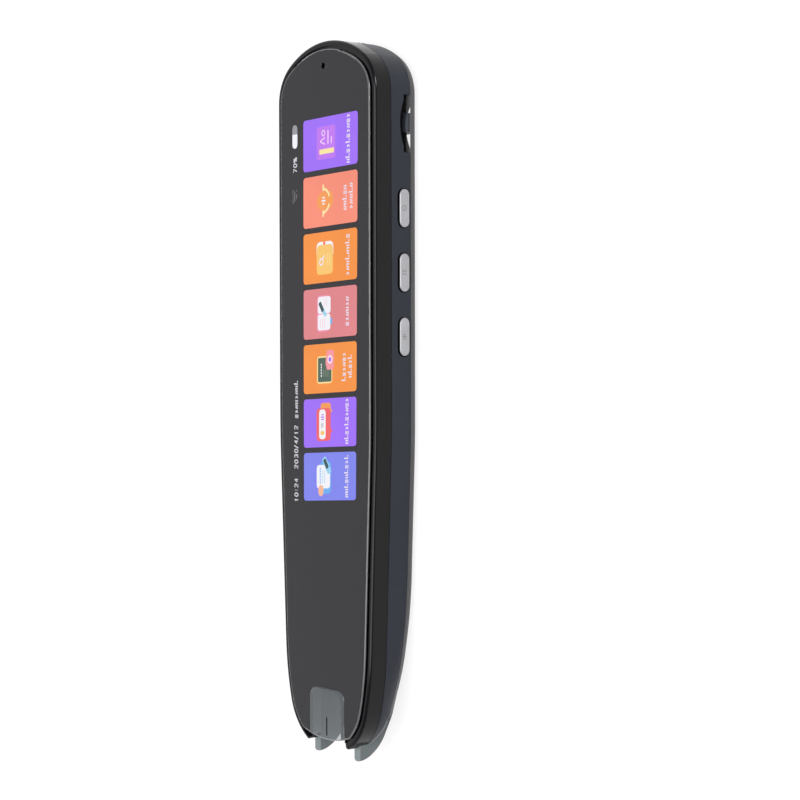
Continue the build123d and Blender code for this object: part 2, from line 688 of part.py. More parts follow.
def make_speaker():
    """Box speaker over the grille, with its acoustic mesh."""
    box = block(45.5, 61.5, -0.5, 10.5, 1.75, 5.3)
    box = fillet(box.edges().filter_by(Axis.Z), 1.5)
    mesh = block(46.5, 60.5, 0.5, 9.5, FLOOR, 1.75)
    return box, mesh


def make_microphone():
    """Front microphone on the chassis with a rubber boot up to the adhesive sheet."""
    x, y = MIC_HOLE
    body = block(x - 1.6, x + 1.6, y - 1.3, y + 1.3, CHASSIS_Z[1], 10.3)
    z1 = THICKNESS - GLASS - GASKET
    boot = rod((x, y, (10.3 + z1) / 2), 1.35, z1 - 10.3, "z") - rod((x, y, 11), 0.6, 4, "z")
    return body, single(boot)


def make_usb():
    """Rolled steel USB-C shell with its tongue, on a small board under the chassis."""
    x1 = LENGTH / 2 - 0.35
    shell = usb_cutter(8.94, 3.16, x1 - 7.3, x1) - usb_cutter(8.34, 2.56, x1 - 6.6, x1 + 1)
    tongue = block(x1 - 6.7, x1 - 1.0, -3.35, 3.35, USB_Z - 0.35, USB_Z + 0.35)
    shell_top = USB_Z + 3.16 / 2
    board = block(56.0, 73.0, -7.2, 7.2, shell_top, shell_top + BOARD)
    board = board & prism(plan_face(WALL + 0.8), 0, 20)
    spacer_room = CHASSIS_Z[0] - (shell_top + BOARD)
    spacers = [rod((61.0, side * 6.5, shell_top + BOARD + spacer_room / 2), 1.3, spacer_room, "z")
               for side in (-1, 1)]
    board = single(board + spacers[0] + spacers[1])
    return single(shell + tongue), board


def make_camera():
    """Scanning camera on the bulkhead, its lens, the light board and two lamps."""
    body = block(-54.0, -46.5, -4.3, 4.3, LENS_Z - 3.6, LENS_Z + 2.2)
    body = chamfer(body.edges().filter_by(Axis.X), 0.5)
    barrel = rod((-55.6, 0, LENS_Z), LENS_RADIUS, 3.2, "x") - rod((-57.2, 0, LENS_Z), 1.5, 0.8, "x")
    glass = rod((-57.0, 0, LENS_Z), 1.5, 0.4, "x")
    light = block(-55.8, -55.2, -7.4, 7.4, 3.4, 8.2) - rod((-55.5, 0, LENS_Z), LENS_RADIUS + 0.1, 3, "x")
    lamps = [single(rod((-56.1, side * 5.0, LENS_Z), 0.9, 0.6, "x")) for side in (-1, 1)]
    return single(body + barrel), glass, single(light), Compound(lamps)


def make_flex():
    """Folded display cable, camera cable and key cable."""
    thin = 0.15
    plug_x = -42.3
    fold_x = -44.6
    low, high = 6.85, 9.45
    display = block(fold_x, DISPLAY_X[0] - 1.5, -6.0, -0.5, high, high + thin)
    display = display + block(fold_x, fold_x + thin, -6.0, -0.5, low, high + thin)
    display = display + block(fold_x, plug_x, -6.0, -0.5, low, low + thin)
    camera = block(-46.5, plug_x, 0.5, 4.0, low, low + thin)
    keys = block(25.0, 29.0, -12.2, -12.2 + thin, 7.0, 8.0)
    keys = keys + block(25.0, 29.0, -12.2, -10.6, 8.0 - thin, 8.0)
    return display, camera, keys


def make_antenna():
    """Wireless antenna film on the wall opposite the buttons."""
    y = HALF - WALL
    film = block(8.0, 44.0, y - 0.15, y, 3.6, 6.9)
    for x in range(12, 42, 6):
        film = film - block(x, x + 3, y - 1, y + 1, 4.4, 6.2)
    return single(film)


# ---------------------------------------------------------------- lanyard anchor
def make_lanyard(cavity):
    """Black plug behind the slot, with the strap channel through it."""
    plug = block(SLOT_X0 - 0.9, SLOT_X1 + 0.9, -HALF, -11.2, FLOOR, 6.3)
    return single((plug & cavity) - strap_channel())


def make_lanyard_bar():
    """Rib on the edge of the rear cover, set back a little in the slot."""
    rib = side_prism(lens_edges(Z_SEAM - SEAM_GAP), -HALF + 0.35, -HALF + WALL)
    return rib & block(*RIB_X, -30, 30, 0, 20)


# ---------------------------------------------------------------- scanning nose
BRIDGE_X = (-60.6, -59.2)


def make_nose():
    """Two thin guides joined by a bridge with a camera window; slides along X when pressed."""
    nose = None
    for side in (-1, 1):
        low, high = sorted((side * GUIDE_INNER, side * GUIDE_OUTER))
        limits = block(-LENGTH / 2, GUIDE_TAIL_X, low, high, -5, 20)
        front_edges = limits.edges().filter_by(Axis.Z).sort_by(Axis.X)[:2]
        guide = side_prism(guide_edges(), low, high) & fillet(front_edges, GUIDE_CORNER)
        nose = guide if nose is None else nose + guide
    bridge = block(*BRIDGE_X, -GUIDE_OUTER, GUIDE_OUTER, 3.0, GUIDE_TOP)
    wings = block(*BRIDGE_X, -10.9, 10.9, 5.6, 8.2)
    view = block(-62, -58, -4.4, 4.4, 4.0, 8.0)
    nose = nose + bridge + wings - view
    return single(nose)


SPRING_Y = 9.7
SPRING_Z = 6.9


def make_springs():
    """Two small coil springs between the nose's wings and the bulkhead."""
    length = BULKHEAD_X[0] - BRIDGE_X[1]
    wire = 0.14
    springs = []
    for side in (-1, 1):
        path = Helix(pitch=0.75, height=length - 2 * wire, radius=0.85)
        start = path @ 0
        section = Plane(origin=start, z_dir=path % 0) * Circle(wire)
        coil = sweep(section, path=path)
        coil = Pos(BRIDGE_X[1] + wire, side * SPRING_Y, SPRING_Z) * Rot(0, 90, 0) * coil
        springs.append(single(coil))
    return Compound(springs)


def make_trigger_switch():
    """Switch on the bulkhead that the nose presses at the end of its travel."""
    body = block(-56.9, BULKHEAD_X[0], 8.2, 10.2, 3.9, 5.5)
    plunger = block(-57.9, -56.9, 8.8, 9.6, 4.3, 5.1)
    return single(body + plunger)


# ---------------------------------------------------------------- build and write
def build():
    """Every piece of the pen by its node name."""
    housing, cover, cavity = make_shells()
    glass, window = make_glass()
    panel, backlight = make_display()
    cell, pad, protection = make_battery()
    key_board, key_switches = make_side_keys()
    speaker, speaker_mesh = make_speaker()
    microphone, microphone_boot = make_microphone()
    usb, usb_board = make_usb()
    camera, lens, light_board, lamps = make_camera()
    display_flex, camera_flex, key_flex = make_flex()
    nodes = {
        "front_frame": make_front_frame(),
        "housing": single(add_housing_details(housing)),
        "rear_cover": single(add_cover_details(cover)),
        "cover_glass": glass,
        "scan_window": window,
        "glass_gasket": make_gasket(),
        "window_liner": make_window_liner(),
        "display_panel": panel,
        "display_backlight": backlight,
        "inner_chassis": make_chassis(),
        "chassis_screws": make_screws(),
        "main_board": make_main_board(),
        "main_board_chips": make_chips(),
        "battery": cell,
        "battery_pad": pad,
        "battery_board": protection,
        "key_board": key_board,
        "key_switches": key_switches,
        "speaker": speaker,
        "speaker_mesh": speaker_mesh,
        "front_microphone": microphone,
        "microphone_boot": microphone_boot,
        "usb_receptacle": usb,
        "usb_board": usb_board,
        "camera_module": camera,
        "camera_lens": lens,
        "scan_light_board": light_board,
        "scan_lamps": lamps,
        "display_flex": display_flex,
        "camera_flex": camera_flex,
        "key_flex": key_flex,
        "antenna": make_antenna(),
        "lanyard_pocket": make_lanyard(cavity),
        "lanyard_bar": make_lanyard_bar(),
        "nose_guide": make_nose(),
        "nose_springs": make_springs(),
        "trigger_switch": make_trigger_switch(),
    }
    for name, x in zip(BUTTON_NAMES, BUTTON_X):
        nodes[name] = Pos(x, 0, 0) * make_button()
    return nodes


def main():
    os.makedirs("parts", exist_ok=True)
    for name, shape in build().items():
        export_step(shape, f"parts/{name}.step")


if __name__ == "__main__":
    main()
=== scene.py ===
import math

import bmesh
import bpy
from mathutils import Matrix, Vector
from mathutils.bvhtree import BVHTree
from mathutils.geometry import tessellate_polygon


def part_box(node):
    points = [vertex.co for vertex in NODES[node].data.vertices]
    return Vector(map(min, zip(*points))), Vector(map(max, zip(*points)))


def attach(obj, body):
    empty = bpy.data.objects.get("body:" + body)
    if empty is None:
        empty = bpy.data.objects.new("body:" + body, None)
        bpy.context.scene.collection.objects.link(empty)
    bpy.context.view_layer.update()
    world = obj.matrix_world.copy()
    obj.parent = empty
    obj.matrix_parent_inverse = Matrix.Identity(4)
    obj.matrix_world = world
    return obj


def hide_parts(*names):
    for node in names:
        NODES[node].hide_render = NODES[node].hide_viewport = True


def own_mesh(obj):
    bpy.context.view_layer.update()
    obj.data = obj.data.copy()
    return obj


# Looks of the handheld translator. +X points to the round end, the buttons are on the -Y side, +Z comes out
# of the screen, and the back lies on Z = 0. Lengths are in millimetres unless a comment says otherwise, and
# become metres in mesh code.
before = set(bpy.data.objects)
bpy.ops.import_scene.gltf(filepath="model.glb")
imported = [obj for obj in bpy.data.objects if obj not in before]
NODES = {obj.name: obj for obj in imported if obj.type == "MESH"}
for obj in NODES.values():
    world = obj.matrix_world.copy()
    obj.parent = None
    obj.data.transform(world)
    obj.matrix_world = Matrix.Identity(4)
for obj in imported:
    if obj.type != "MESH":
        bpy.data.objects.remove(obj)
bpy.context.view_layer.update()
MM = 0.001


def node_box(name):
    """Lowest and highest corner of a CAD node, in millimetres."""
    low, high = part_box(name)
    return low / MM, high / MM


# ---------------------------------------------------------------- camera
CAMERA_PLACE = Vector((13.91, -313.05, 251.64))
CAMERA_AIM = Vector((0.60, -17.24, 6.0))
CAMERA_ROLL = math.radians(-0.11)
FOCAL_LENGTH = 84.68
SENSOR = 36.0                  # its width


def add_camera():
    """The photograph's view: the pen's round end points up in the picture."""
    data = bpy.data.cameras.new("camera")
    data.lens = FOCAL_LENGTH
    data.sensor_width = SENSOR
    data.clip_start = 0.01
    camera = bpy.data.objects.new("camera", data)
    back = (CAMERA_PLACE - CAMERA_AIM).normalized()
    right = Vector((1, 0, 0)).cross(back).normalized()
    up = back.cross(right)
    turn = Matrix((right, up, back)).transposed() @ Matrix.Rotation(CAMERA_ROLL, 3, "Z")
    camera.matrix_world = Matrix.Translation(CAMERA_PLACE * MM) @ turn.to_4x4()
    bpy.context.scene.collection.objects.link(camera)
    bpy.context.scene.camera = camera


# ---------------------------------------------------------------- materials
NOISE_RANGE = (0.3, 0.7)       # nearly all noise values lie between these
MOTTLE_NOISE = (260.0, 4.0)    # patches of colour on plastic: cells per metre, and detail
GLOSS_NOISE = (90.0, 5.0)      # patches of duller gloss
GLOSS_VARIATION = 0.15
GRAIN_DETAIL = 2.0
PANE_NOISE = (60.0, 4.0)       # faint smears on a clear pane
PANE_VARIATION = 0.3
CLOUD_NOISE = (700.0, 3.0)     # clouds in a pane's ground edge
CLOUD_VARIATION = 0.07
EDGE_NORMAL_Z = (0.93, 0.985)  # the ground edge starts where the pane's face tilts this far,
EDGE_CLEAR_Z = (0.30, 0.55)    # and may end on the steep side below
PAINTED_LIGHT_EDGE_Y = (0.05, 0.30)      # a face that looks away from the buttons by this much has the paler edge colour, a painted light
EDGE_ROUGHNESS = 0.24
EDGE_SPECULAR = 0.55
GLOW_NOISE = (120.0, 2.0)      # slight unevenness of the display's light
GLOW_VARIATION = 0.03
GLOW_STRENGTH = 1.05


class Nodes:
    """Short calls for building the node tree of a material or of the world."""

    def __init__(self, owner, output="ShaderNodeOutputMaterial", place="Object"):
        owner.use_nodes = True
        self.owner = owner
        self.tree = owner.node_tree
        self.tree.nodes.clear()
        self.output = self.add(output)
        self.place = self.add("ShaderNodeTexCoord").outputs[place]

    def add(self, kind, **values):
        """A new node with its settings."""
        node = self.tree.nodes.new(kind)
        for key, value in values.items():
            setattr(node, key, value)
        return node

    def link(self, source, target):
        """Join an output to an input."""
        self.tree.links.new(source, target)

    def finish(self, shader):
        """Show the shader, and give back what the tree belongs to."""
        self.link(shader, self.output.inputs["Surface"])
        return self.owner

    def noise(self, scale, detail):
        """Noise over the piece; scale is in cells per metre."""
        noise = self.add("ShaderNodeTexNoise")
        noise.inputs["Scale"].default_value = scale
        noise.inputs["Detail"].default_value = detail
        self.link(self.place, noise.inputs["Vector"])
        return noise.outputs["Fac"]

    def patchy(self, colour, variation, noise):
        """A colour that varies a little over the piece."""
        ramp = self.add("ShaderNodeValToRGB")
        ends = zip(ramp.color_ramp.elements, NOISE_RANGE, (1 - variation, 1 + variation))
        for element, position, factor in ends:
            element.position = position
            element.color = (*scaled(colour, factor), 1)
        self.link(self.noise(*noise), ramp.inputs["Fac"])
        return ramp.outputs["Color"]

    def uneven(self, value, variation, noise):
        """A number that varies a little over the piece."""
        return self.spread(self.noise(*noise), value * (1 - variation), value * (1 + variation))

    def spread(self, factor, low, high, start=0.0, end=1.0, smooth=False):
        """A number that runs from low to high while the factor runs from start to end."""
        spread = self.add("ShaderNodeMapRange")
        if smooth:
            spread.interpolation_type = "SMOOTHSTEP"
        for socket, value in (("From Min", start), ("From Max", end), ("To Min", low), ("To Max", high)):
            spread.inputs[socket].default_value = value
        self.link(factor, spread.inputs["Value"])
        return spread.outputs["Result"]

    def between(self, factor, first, second, kind="FLOAT"):
        """A number or colour that goes from the first to the second while the factor goes from 0 to 1."""
        mix = self.add("ShaderNodeMix", data_type=kind)
        self.link(factor, mix.inputs["Factor"])
        for socket, value in (("A", first), ("B", second)):
            if isinstance(value, bpy.types.NodeSocket):
                self.link(value, mix.inputs[socket])
            else:
                mix.inputs[socket].default_value = value
        return mix.outputs["Result"]

    def mixed(self, factor, first, second):
        """A shader that goes from the first to the second while the factor goes from 0 to 1."""
        mix = self.add("ShaderNodeMixShader")
        self.link(factor, mix.inputs["Fac"])
        self.link(first, mix.inputs[1])
        self.link(second, mix.inputs[2])
        return mix.outputs["Shader"]

    def combined(self, operation, *factors):
        """Several numbers put together, one after another."""
        total = factors[0]
        for factor in factors[1:]:
            step = self.add("ShaderNodeMath", operation=operation)
            self.link(total, step.inputs[0])
            self.link(factor, step.inputs[1])
            total = step.outputs["Value"]
        return total

    def part(self, vector, axis):
        """One coordinate of a vector."""
        parts = self.add("ShaderNodeSeparateXYZ")
        self.link(vector, parts.inputs["Vector"])
        return parts.outputs[axis]

    def bump(self, height, distance):
        """A bump whose height is in millimetres."""
        bump = self.add("ShaderNodeBump")
        bump.inputs["Distance"].default_value = distance * MM
        bump.inputs["Strength"].default_value = 1.0
        self.link(height, bump.inputs["Height"])
        return bump.outputs["Normal"]

    def principled(self, **values):
        """The main shader; a value's name is that of its socket, with _ for each space."""
        shader = self.add("ShaderNodeBsdfPrincipled")
        for key, value in values.items():
            shader.inputs[key.replace("_", " ")].default_value = value
        return shader


def scaled(colour, factor):
    """The colour, darker or paler by a factor."""
    return tuple(channel * factor for channel in colour)


def moulded(name, colour, roughness, grain=0.0, grain_size=0.12, variation=0.06, fade=None, **values):
    """Moulded plastic or coated metal: slight mottling, uneven gloss and a fine moulded grain.
    A fade turns the colour into another one along an axis of the piece, between two places."""
    n = Nodes(bpy.data.materials.new(name))
    shader = n.principled(**values)
    tone = n.patchy(colour, variation, MOTTLE_NOISE)
    if fade:
        axis, start, end, far_colour = fade
        along = n.spread(n.part(n.place, axis), 0.0, 1.0, start * MM, end * MM)
        tone = n.between(along, tone, (*far_colour, 1), "RGBA")
    n.link(tone, shader.inputs["Base Color"])
    n.link(n.uneven(roughness, GLOSS_VARIATION, GLOSS_NOISE), shader.inputs["Roughness"])
    if grain:
        height = n.noise(1.0 / (grain_size * MM), GRAIN_DETAIL)
        n.link(n.bump(height, grain), shader.inputs["Normal"])
    return n.finish(shader.outputs["BSDF"])


def see_through(name, tint, roughness, index=1.5, mirror_tint=(1.0, 1.0, 1.0), edge=None, painted_light_edge=1.0,
                haze=0.0, clear_side=False):
    """Clear pane: what lies behind shows unbent through its tint, and the surface mirrors by its angle.
    A pane with an edge colour has a finely ground, cloudy edge. On the side away from the buttons that edge
    is painted paler by a factor, as painted light. Haze is the share of that cloud on the pane's face.
    With clear_side, the steep lower part of the edge has none, so that the dark groove shows through it."""
    n = Nodes(bpy.data.materials.new(name))
    clear = n.add("ShaderNodeBsdfTransparent")
    clear.inputs["Color"].default_value = (*tint, 1)
    mirror = n.add("ShaderNodeBsdfGlossy")
    mirror.inputs["Color"].default_value = (*mirror_tint, 1)
    n.link(n.uneven(roughness, PANE_VARIATION, PANE_NOISE), mirror.inputs["Roughness"])
    angle = n.add("ShaderNodeFresnel")
    angle.inputs["IOR"].default_value = index
    surface = n.add("ShaderNodeNewGeometry")
    front = n.spread(surface.outputs["Backfacing"], 1.0, 0.0)
    share = n.combined("MULTIPLY", angle.outputs["Fac"], front)
    pane = n.mixed(share, clear.outputs["BSDF"], mirror.outputs["BSDF"])
    if edge:
        ground = n.principled(Roughness=EDGE_ROUGHNESS, Specular_IOR_Level=EDGE_SPECULAR)
        # the edge on faces turned away from the buttons is painted paler: painted light
        away = n.spread(n.part(surface.outputs["Normal"], "Y"), 0.0, 1.0, *PAINTED_LIGHT_EDGE_Y)
        near = n.patchy(edge, CLOUD_VARIATION, CLOUD_NOISE)
        far = (*scaled(edge, painted_light_edge), 1)
        n.link(n.between(away, near, far, "RGBA"), ground.inputs["Base Color"])
        tilt = n.part(surface.outputs["Normal"], "Z")
        cloud = n.spread(tilt, 1.0, haze, *EDGE_NORMAL_Z)
        if clear_side:
            cloud = n.combined("MULTIPLY", cloud, n.spread(tilt, 0.0, 1.0, *EDGE_CLEAR_Z))
        pane = n.mixed(cloud, pane, ground.outputs["BSDF"])
    return n.finish(pane)


def lit(name, colour):
    """Lit picture element of the display."""
    n = Nodes(bpy.data.materials.new(name))
    shader = n.principled(Base_Color=(0.0, 0.0, 0.0, 1), Roughness=1.0, Specular_IOR_Level=0.0,
                          Emission_Strength=GLOW_STRENGTH)
    n.link(n.patchy(colour, GLOW_VARIATION, GLOW_NOISE), shader.inputs["Emission Color"])
    return n.finish(shader.outputs["BSDF"])


def srgb(red, green, blue):
    """Linear colour from picture values of 0 to 255."""
    def linear(value):
        value /= 255
        return value / 12.92 if value <= 0.04045 else ((value + 0.055) / 1.055) ** 2.4
    return linear(red), linear(green), linear(blue)


BUTTON_PAINTED_SHADE = ("Y", -16.93, -16.84, (0.004, 0.004, 0.004))    # behind its face a button's flank is painted black: painted shade for the dark gap round it

FRAME_BLACK = moulded("frame_black", (0.0040, 0.0040, 0.0055), 0.14, grain=0.002, grain_size=0.5,
                      Specular_IOR_Level=0.25)
HOUSING_SLATE = moulded("housing_slate", (0.0190, 0.0230, 0.0380), 0.42, grain=0.012, grain_size=0.16,
                       Specular_IOR_Level=0.36)
COVER_GREY = moulded("cover_grey", (0.160, 0.160, 0.166), 0.45, grain=0.010, grain_size=0.16,
                     Specular_IOR_Level=0.3)
# the glass's ground edge is painted 4.2 times paler on the side away from the buttons: painted light
COVER_GLASS = see_through("cover_glass", (0.97, 0.97, 0.98), 0.012, mirror_tint=(0.97, 0.94, 1.0),
                          edge=(0.150, 0.150, 0.155), painted_light_edge=4.2, clear_side=True)
WINDOW = see_through("window_clear", (0.92, 0.935, 0.95), 0.02, edge=(0.25, 0.285, 0.31), haze=0.27)
INK_BLACK = moulded("ink_black", (0.0016, 0.0016, 0.0019), 0.9, Specular_IOR_Level=0.0)
DISPLAY_BLACK = moulded("display_black", (0.0022, 0.0022, 0.0028), 0.9, Specular_IOR_Level=0.0)
GUIDE_GREY = moulded("guide_smoke", (0.225, 0.26, 0.27), 0.3, grain=0.004, grain_size=0.2,
                     Subsurface_Weight=0.3, Subsurface_Scale=0.002)
LINER_GREY = moulded("liner_grey", (0.60, 0.64, 0.68), 0.4, grain=0.004, grain_size=0.2)
# the buttons' silver turns black on their flanks, a painted shade
BUTTON_SILVER = moulded("button_silver", (0.53, 0.53, 0.55), 0.42, grain=0.006, grain_size=0.09,
                        fade=BUTTON_PAINTED_SHADE, Metallic=0.5)
# pale grey of the thin tubes at the tip, a painted highlight
PAINTED_HIGHLIGHT_GREY = moulded("painted_highlight_grey", (0.42, 0.43, 0.45), 0.3)
MARK_GREY = moulded("mark_grey", (0.24, 0.24, 0.25), 0.5)
# the strap slot's black plug: its near-black, dull colour also paints the shade inside the slot
POCKET_BLACK_AND_SHADE = moulded("pocket_black", (0.004, 0.004, 0.0045), 0.8, Specular_IOR_Level=0.15)
BAR_SLATE = moulded("bar_slate", (0.055, 0.064, 0.088), 0.25, grain=0.004)
STEEL = moulded("steel", (0.52, 0.52, 0.53), 0.28, variation=0.04, Metallic=1.0)
ALUMINIUM = moulded("aluminium", (0.45, 0.45, 0.47), 0.42, grain=0.01, Metallic=1.0)
BOARD_GREEN = moulded("board_green", (0.01, 0.085, 0.045), 0.35, grain=0.004)
CHIP_BLACK = moulded("chip_black", (0.012, 0.012, 0.013), 0.5, grain=0.006)
FOIL = moulded("battery_foil", (0.5, 0.51, 0.53), 0.33, grain=0.02, grain_size=0.8, Metallic=0.8)
PAD_WHITE = moulded("pad_white", (0.6, 0.6, 0.58), 0.7)
FLEX_AMBER = moulded("flex_amber", (0.27, 0.10, 0.015), 0.32)
RUBBER_BLACK = moulded("rubber_black", (0.012, 0.012, 0.012), 0.7)
MESH_BLACK = moulded("mesh_black", (0.010, 0.010, 0.011), 0.65, grain=0.05)
LENS = see_through("lens_glass", (0.25, 0.28, 0.40), 0.02, index=1.6)
# white of the scan lamps; the pale dot under the window, a painted glint, uses it too
LAMP_AND_GLINT_WHITE = moulded("lamp_white", (0.75, 0.73, 0.62), 0.3)

NODE_MATERIALS = {
    "front_frame": FRAME_BLACK,
    "housing": HOUSING_SLATE,
    "rear_cover": COVER_GREY,
    "cover_glass": COVER_GLASS,
    "scan_window": WINDOW,
    "glass_gasket": INK_BLACK,
    "window_liner": LINER_GREY,
    "display_panel": DISPLAY_BLACK,
    "display_backlight": ALUMINIUM,
    "inner_chassis": ALUMINIUM,
    "chassis_screws": STEEL,
    "main_board": BOARD_GREEN,
    "main_board_chips": CHIP_BLACK,
    "battery": FOIL,
    "battery_pad": PAD_WHITE,
    "battery_board": BOARD_GREEN,
    "key_board": BOARD_GREEN,
    "key_switches": STEEL,
    "speaker": CHIP_BLACK,
    "speaker_mesh": MESH_BLACK,
    "front_microphone": STEEL,
    "microphone_boot": RUBBER_BLACK,
    "usb_receptacle": STEEL,
    "usb_board": BOARD_GREEN,
    "camera_module": CHIP_BLACK,
    "camera_lens": LENS,
    "scan_light_board": BOARD_GREEN,
    "scan_lamps": LAMP_AND_GLINT_WHITE,
    "display_flex": FLEX_AMBER,
    "camera_flex": FLEX_AMBER,
    "key_flex": FLEX_AMBER,
    "antenna": FLEX_AMBER,
    "lanyard_pocket": POCKET_BLACK_AND_SHADE,
    "lanyard_bar": BAR_SLATE,
    "nose_guide": GUIDE_GREY,
    "nose_springs": STEEL,
    "trigger_switch": CHIP_BLACK,
    "power_button": BUTTON_SILVER,
    "mode_button": BUTTON_SILVER,
    "record_button": BUTTON_SILVER,
}


def paint_nodes():
    """Give each CAD node its material."""
    for name, material in NODE_MATERIALS.items():
        for material_slot in NODES[name].material_slots:
            material_slot.material = material


# ---------------------------------------------------------------- outlines
def rounded_rect(width, height, corner, steps=5):
    """Outline of a rounded rectangle about the origin."""
    points = []
    for turn, (sx, sy) in enumerate(((1, 1), (-1, 1), (-1, -1), (1, -1))):
        cx = sx * (width / 2 - corner)
        cy = sy * (height / 2 - corner)
        for step in range(steps + 1):
            angle = math.pi / 2 * (turn + step / steps)
            points.append((cx + corner * math.cos(angle), cy + corner * math.sin(angle)))
    return points


def ellipse(width, height=None, steps=28):
    """Outline of an ellipse about the origin, or of a circle where only one size is given."""
    height = height or width
    angles = [2 * math.pi * step / steps for step in range(steps)]
    return [(width / 2 * math.cos(angle), height / 2 * math.sin(angle)) for angle in angles]


def arc_band(radius, thickness, start, end, steps=14):
    """Outline of a bent bar: part of a ring between two angles in degrees."""
    angles = [math.radians(start + (end - start) * step / steps) for step in range(steps + 1)]
    outer = [((radius + thickness / 2) * math.cos(a), (radius + thickness / 2) * math.sin(a)) for a in angles]
    inner = [((radius - thickness / 2) * math.cos(a), (radius - thickness / 2) * math.sin(a)) for a in angles]
    return outer + inner[::-1]


def shifted(points, x, y, turn=0.0):
    """The outline turned by degrees and moved."""
    c, s = math.cos(math.radians(turn)), math.sin(math.radians(turn))
    return [(x + px * c - py * s, y + px * s + py * c) for px, py in points]


# ---------------------------------------------------------------- pieces made here
PLATE_LIFT = 0.999             # a plate starts a hair below the top of the layer under it


def new_piece(name, mesh, materials):
    """Object from a bmesh, linked to the scene."""
    bmesh.ops.recalc_face_normals(mesh, faces=mesh.faces)
    data = bpy.data.meshes.new(name)
    mesh.to_mesh(data)
    mesh.free()
    for material in materials:
        data.materials.append(material)
    piece = bpy.data.objects.new(name, data)
    bpy.context.scene.collection.objects.link(piece)
    return piece


class Plates:
    """A mesh of thin closed plates that lie on each other in layers, each with its own material.
    A warp gives each point of an outline its place."""

    def __init__(self, name, base, layer, warp=None):
        self.name = name
        self.base = base
        self.layer = layer
        self.warp = warp
        self.mesh = bmesh.new()
        self.materials = []

    def add(self, points, level, material):
        """One plate whose top is level layers over the base."""
        if material not in self.materials:
            self.materials.append(material)
        index = self.materials.index(material)
        top = (self.base + self.layer * level) * MM
        bottom = (self.base + self.layer * (level - 1) * PLATE_LIFT) * MM
        upper = [self.mesh.verts.new((x * MM, y * MM, top)) for x, y in points]
        lower = [self.mesh.verts.new((x * MM, y * MM, bottom)) for x, y in points]
        faces = [self.mesh.faces.new(upper), self.mesh.faces.new(lower[::-1])]
        for i in range(len(points)):
            j = (i + 1) % len(points)
            faces.append(self.mesh.faces.new((lower[i], lower[j], upper[j], upper[i])))
        for face in faces:
            face.material_index = index

    def put(self, points, x, y, level, material, turn=0.0):
        """One plate from an outline that is turned by degrees, moved and warped."""
        points = shifted(points, x, y, turn)
        if self.warp:
            points = [self.warp(px, py) for px, py in points]
        self.add(points, level, material)

    def ribbon(self, path, width, level, material):
        """A narrow plate that follows a path."""
        ends = [path[0], *path, path[-1]]
        left, right = [], []
        for before, (x, y), after in zip(ends, path, ends[2:]):
            run = Vector((after[0] - before[0], after[1] - before[1])).normalized() * width / 2
            left.append((x - run.y, y + run.x))
            right.append((x + run.y, y - run.x))
        for i in range(len(path) - 1):
            self.add([right[i], right[i + 1], left[i + 1], left[i]], level, material)

    def finish(self, body, slot, turn=None):
        """The plates as one piece, turned by a matrix if there is one."""
        if turn:
            bmesh.ops.transform(self.mesh, matrix=turn, verts=self.mesh.verts)
        piece = new_piece(self.name, self.mesh, self.materials)
        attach(piece, body)


# ---------------------------------------------------------------- black print under the glass
PRINT_GAP = 0.012              # hairlines below the glass that keep the layers apart
PRINT_THICKNESS = 0.006
PRINT_LAP = 0.25               # how far the print reaches over the display's edge
PRINT_CORNER = 0.4


def lowest_outlines(name):
    """Closed outlines of a node's lowest flat faces, the one with most points first."""
    mesh = bmesh.new()
    mesh.from_mesh(NODES[name].data)
    bmesh.ops.remove_doubles(mesh, verts=mesh.verts, dist=1e-7)
    level = min(vert.co.z for vert in mesh.verts)
    lowest = [face for face in mesh.faces if all(abs(vert.co.z - level) < 1e-6 for vert in face.verts)]
    flat = set(lowest)
    follow = {}
    for face in lowest:
        for loop in face.loops:
            if sum(other in flat for other in loop.edge.link_faces) == 1:
                follow[loop.vert] = loop.link_loop_next.vert
    outlines = []
    while follow:
        vert, target = follow.popitem()
        outline = [(vert.co.x / MM, vert.co.y / MM)]
        while target in follow:
            outline.append((target.co.x / MM, target.co.y / MM))
            target = follow.pop(target)
        outlines.append(outline)
    mesh.free()
    return sorted(outlines, key=len, reverse=True)


def add_black_sheet(name, outlines, low, high):
    """Closed flat sheet between two heights; every outline after the first is a hole."""
    rings = [[Vector((x, y, 0)) for x, y in outline] for outline in outlines]
    mesh = bmesh.new()
    points = [point for ring in rings for point in ring]
    lower = [mesh.verts.new((p.x * MM, p.y * MM, low * MM)) for p in points]
    upper = [mesh.verts.new((p.x * MM, p.y * MM, high * MM)) for p in points]
    for a, b, c in tessellate_polygon(rings):
        mesh.faces.new((upper[a], upper[b], upper[c]))
        mesh.faces.new((lower[c], lower[b], lower[a]))
    first = 0
    for ring in rings:
        for i in range(len(ring)):
            a = first + i
            b = first + (i + 1) % len(ring)
            mesh.faces.new((lower[a], lower[b], upper[b], upper[a]))
        first += len(ring)
    sheet = new_piece(name, mesh, [INK_BLACK])
    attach(sheet, "body")
    return sheet


def add_glass_print():
    """Black print on the glass's underside, and the adhesive sheet a hairline below it."""
    low, high = node_box("display_panel")
    opening = rounded_rect(high.x - low.x - 2 * PRINT_LAP, high.y - low.y - 2 * PRINT_LAP, PRINT_CORNER)
    opening = shifted(opening, (low.x + high.x) / 2, (low.y + high.y) / 2)
    top = node_box("cover_glass")[0].z - PRINT_GAP
    bottom = top - PRINT_THICKNESS
    add_black_sheet("glass_print", [*lowest_outlines("cover_glass"), opening], bottom, top)
    gasket_low = node_box("glass_gasket")[0].z
    gasket = add_black_sheet("adhesive_sheet", lowest_outlines("glass_gasket"), gasket_low,
                             bottom - PRINT_GAP)
    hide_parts("glass_gasket")


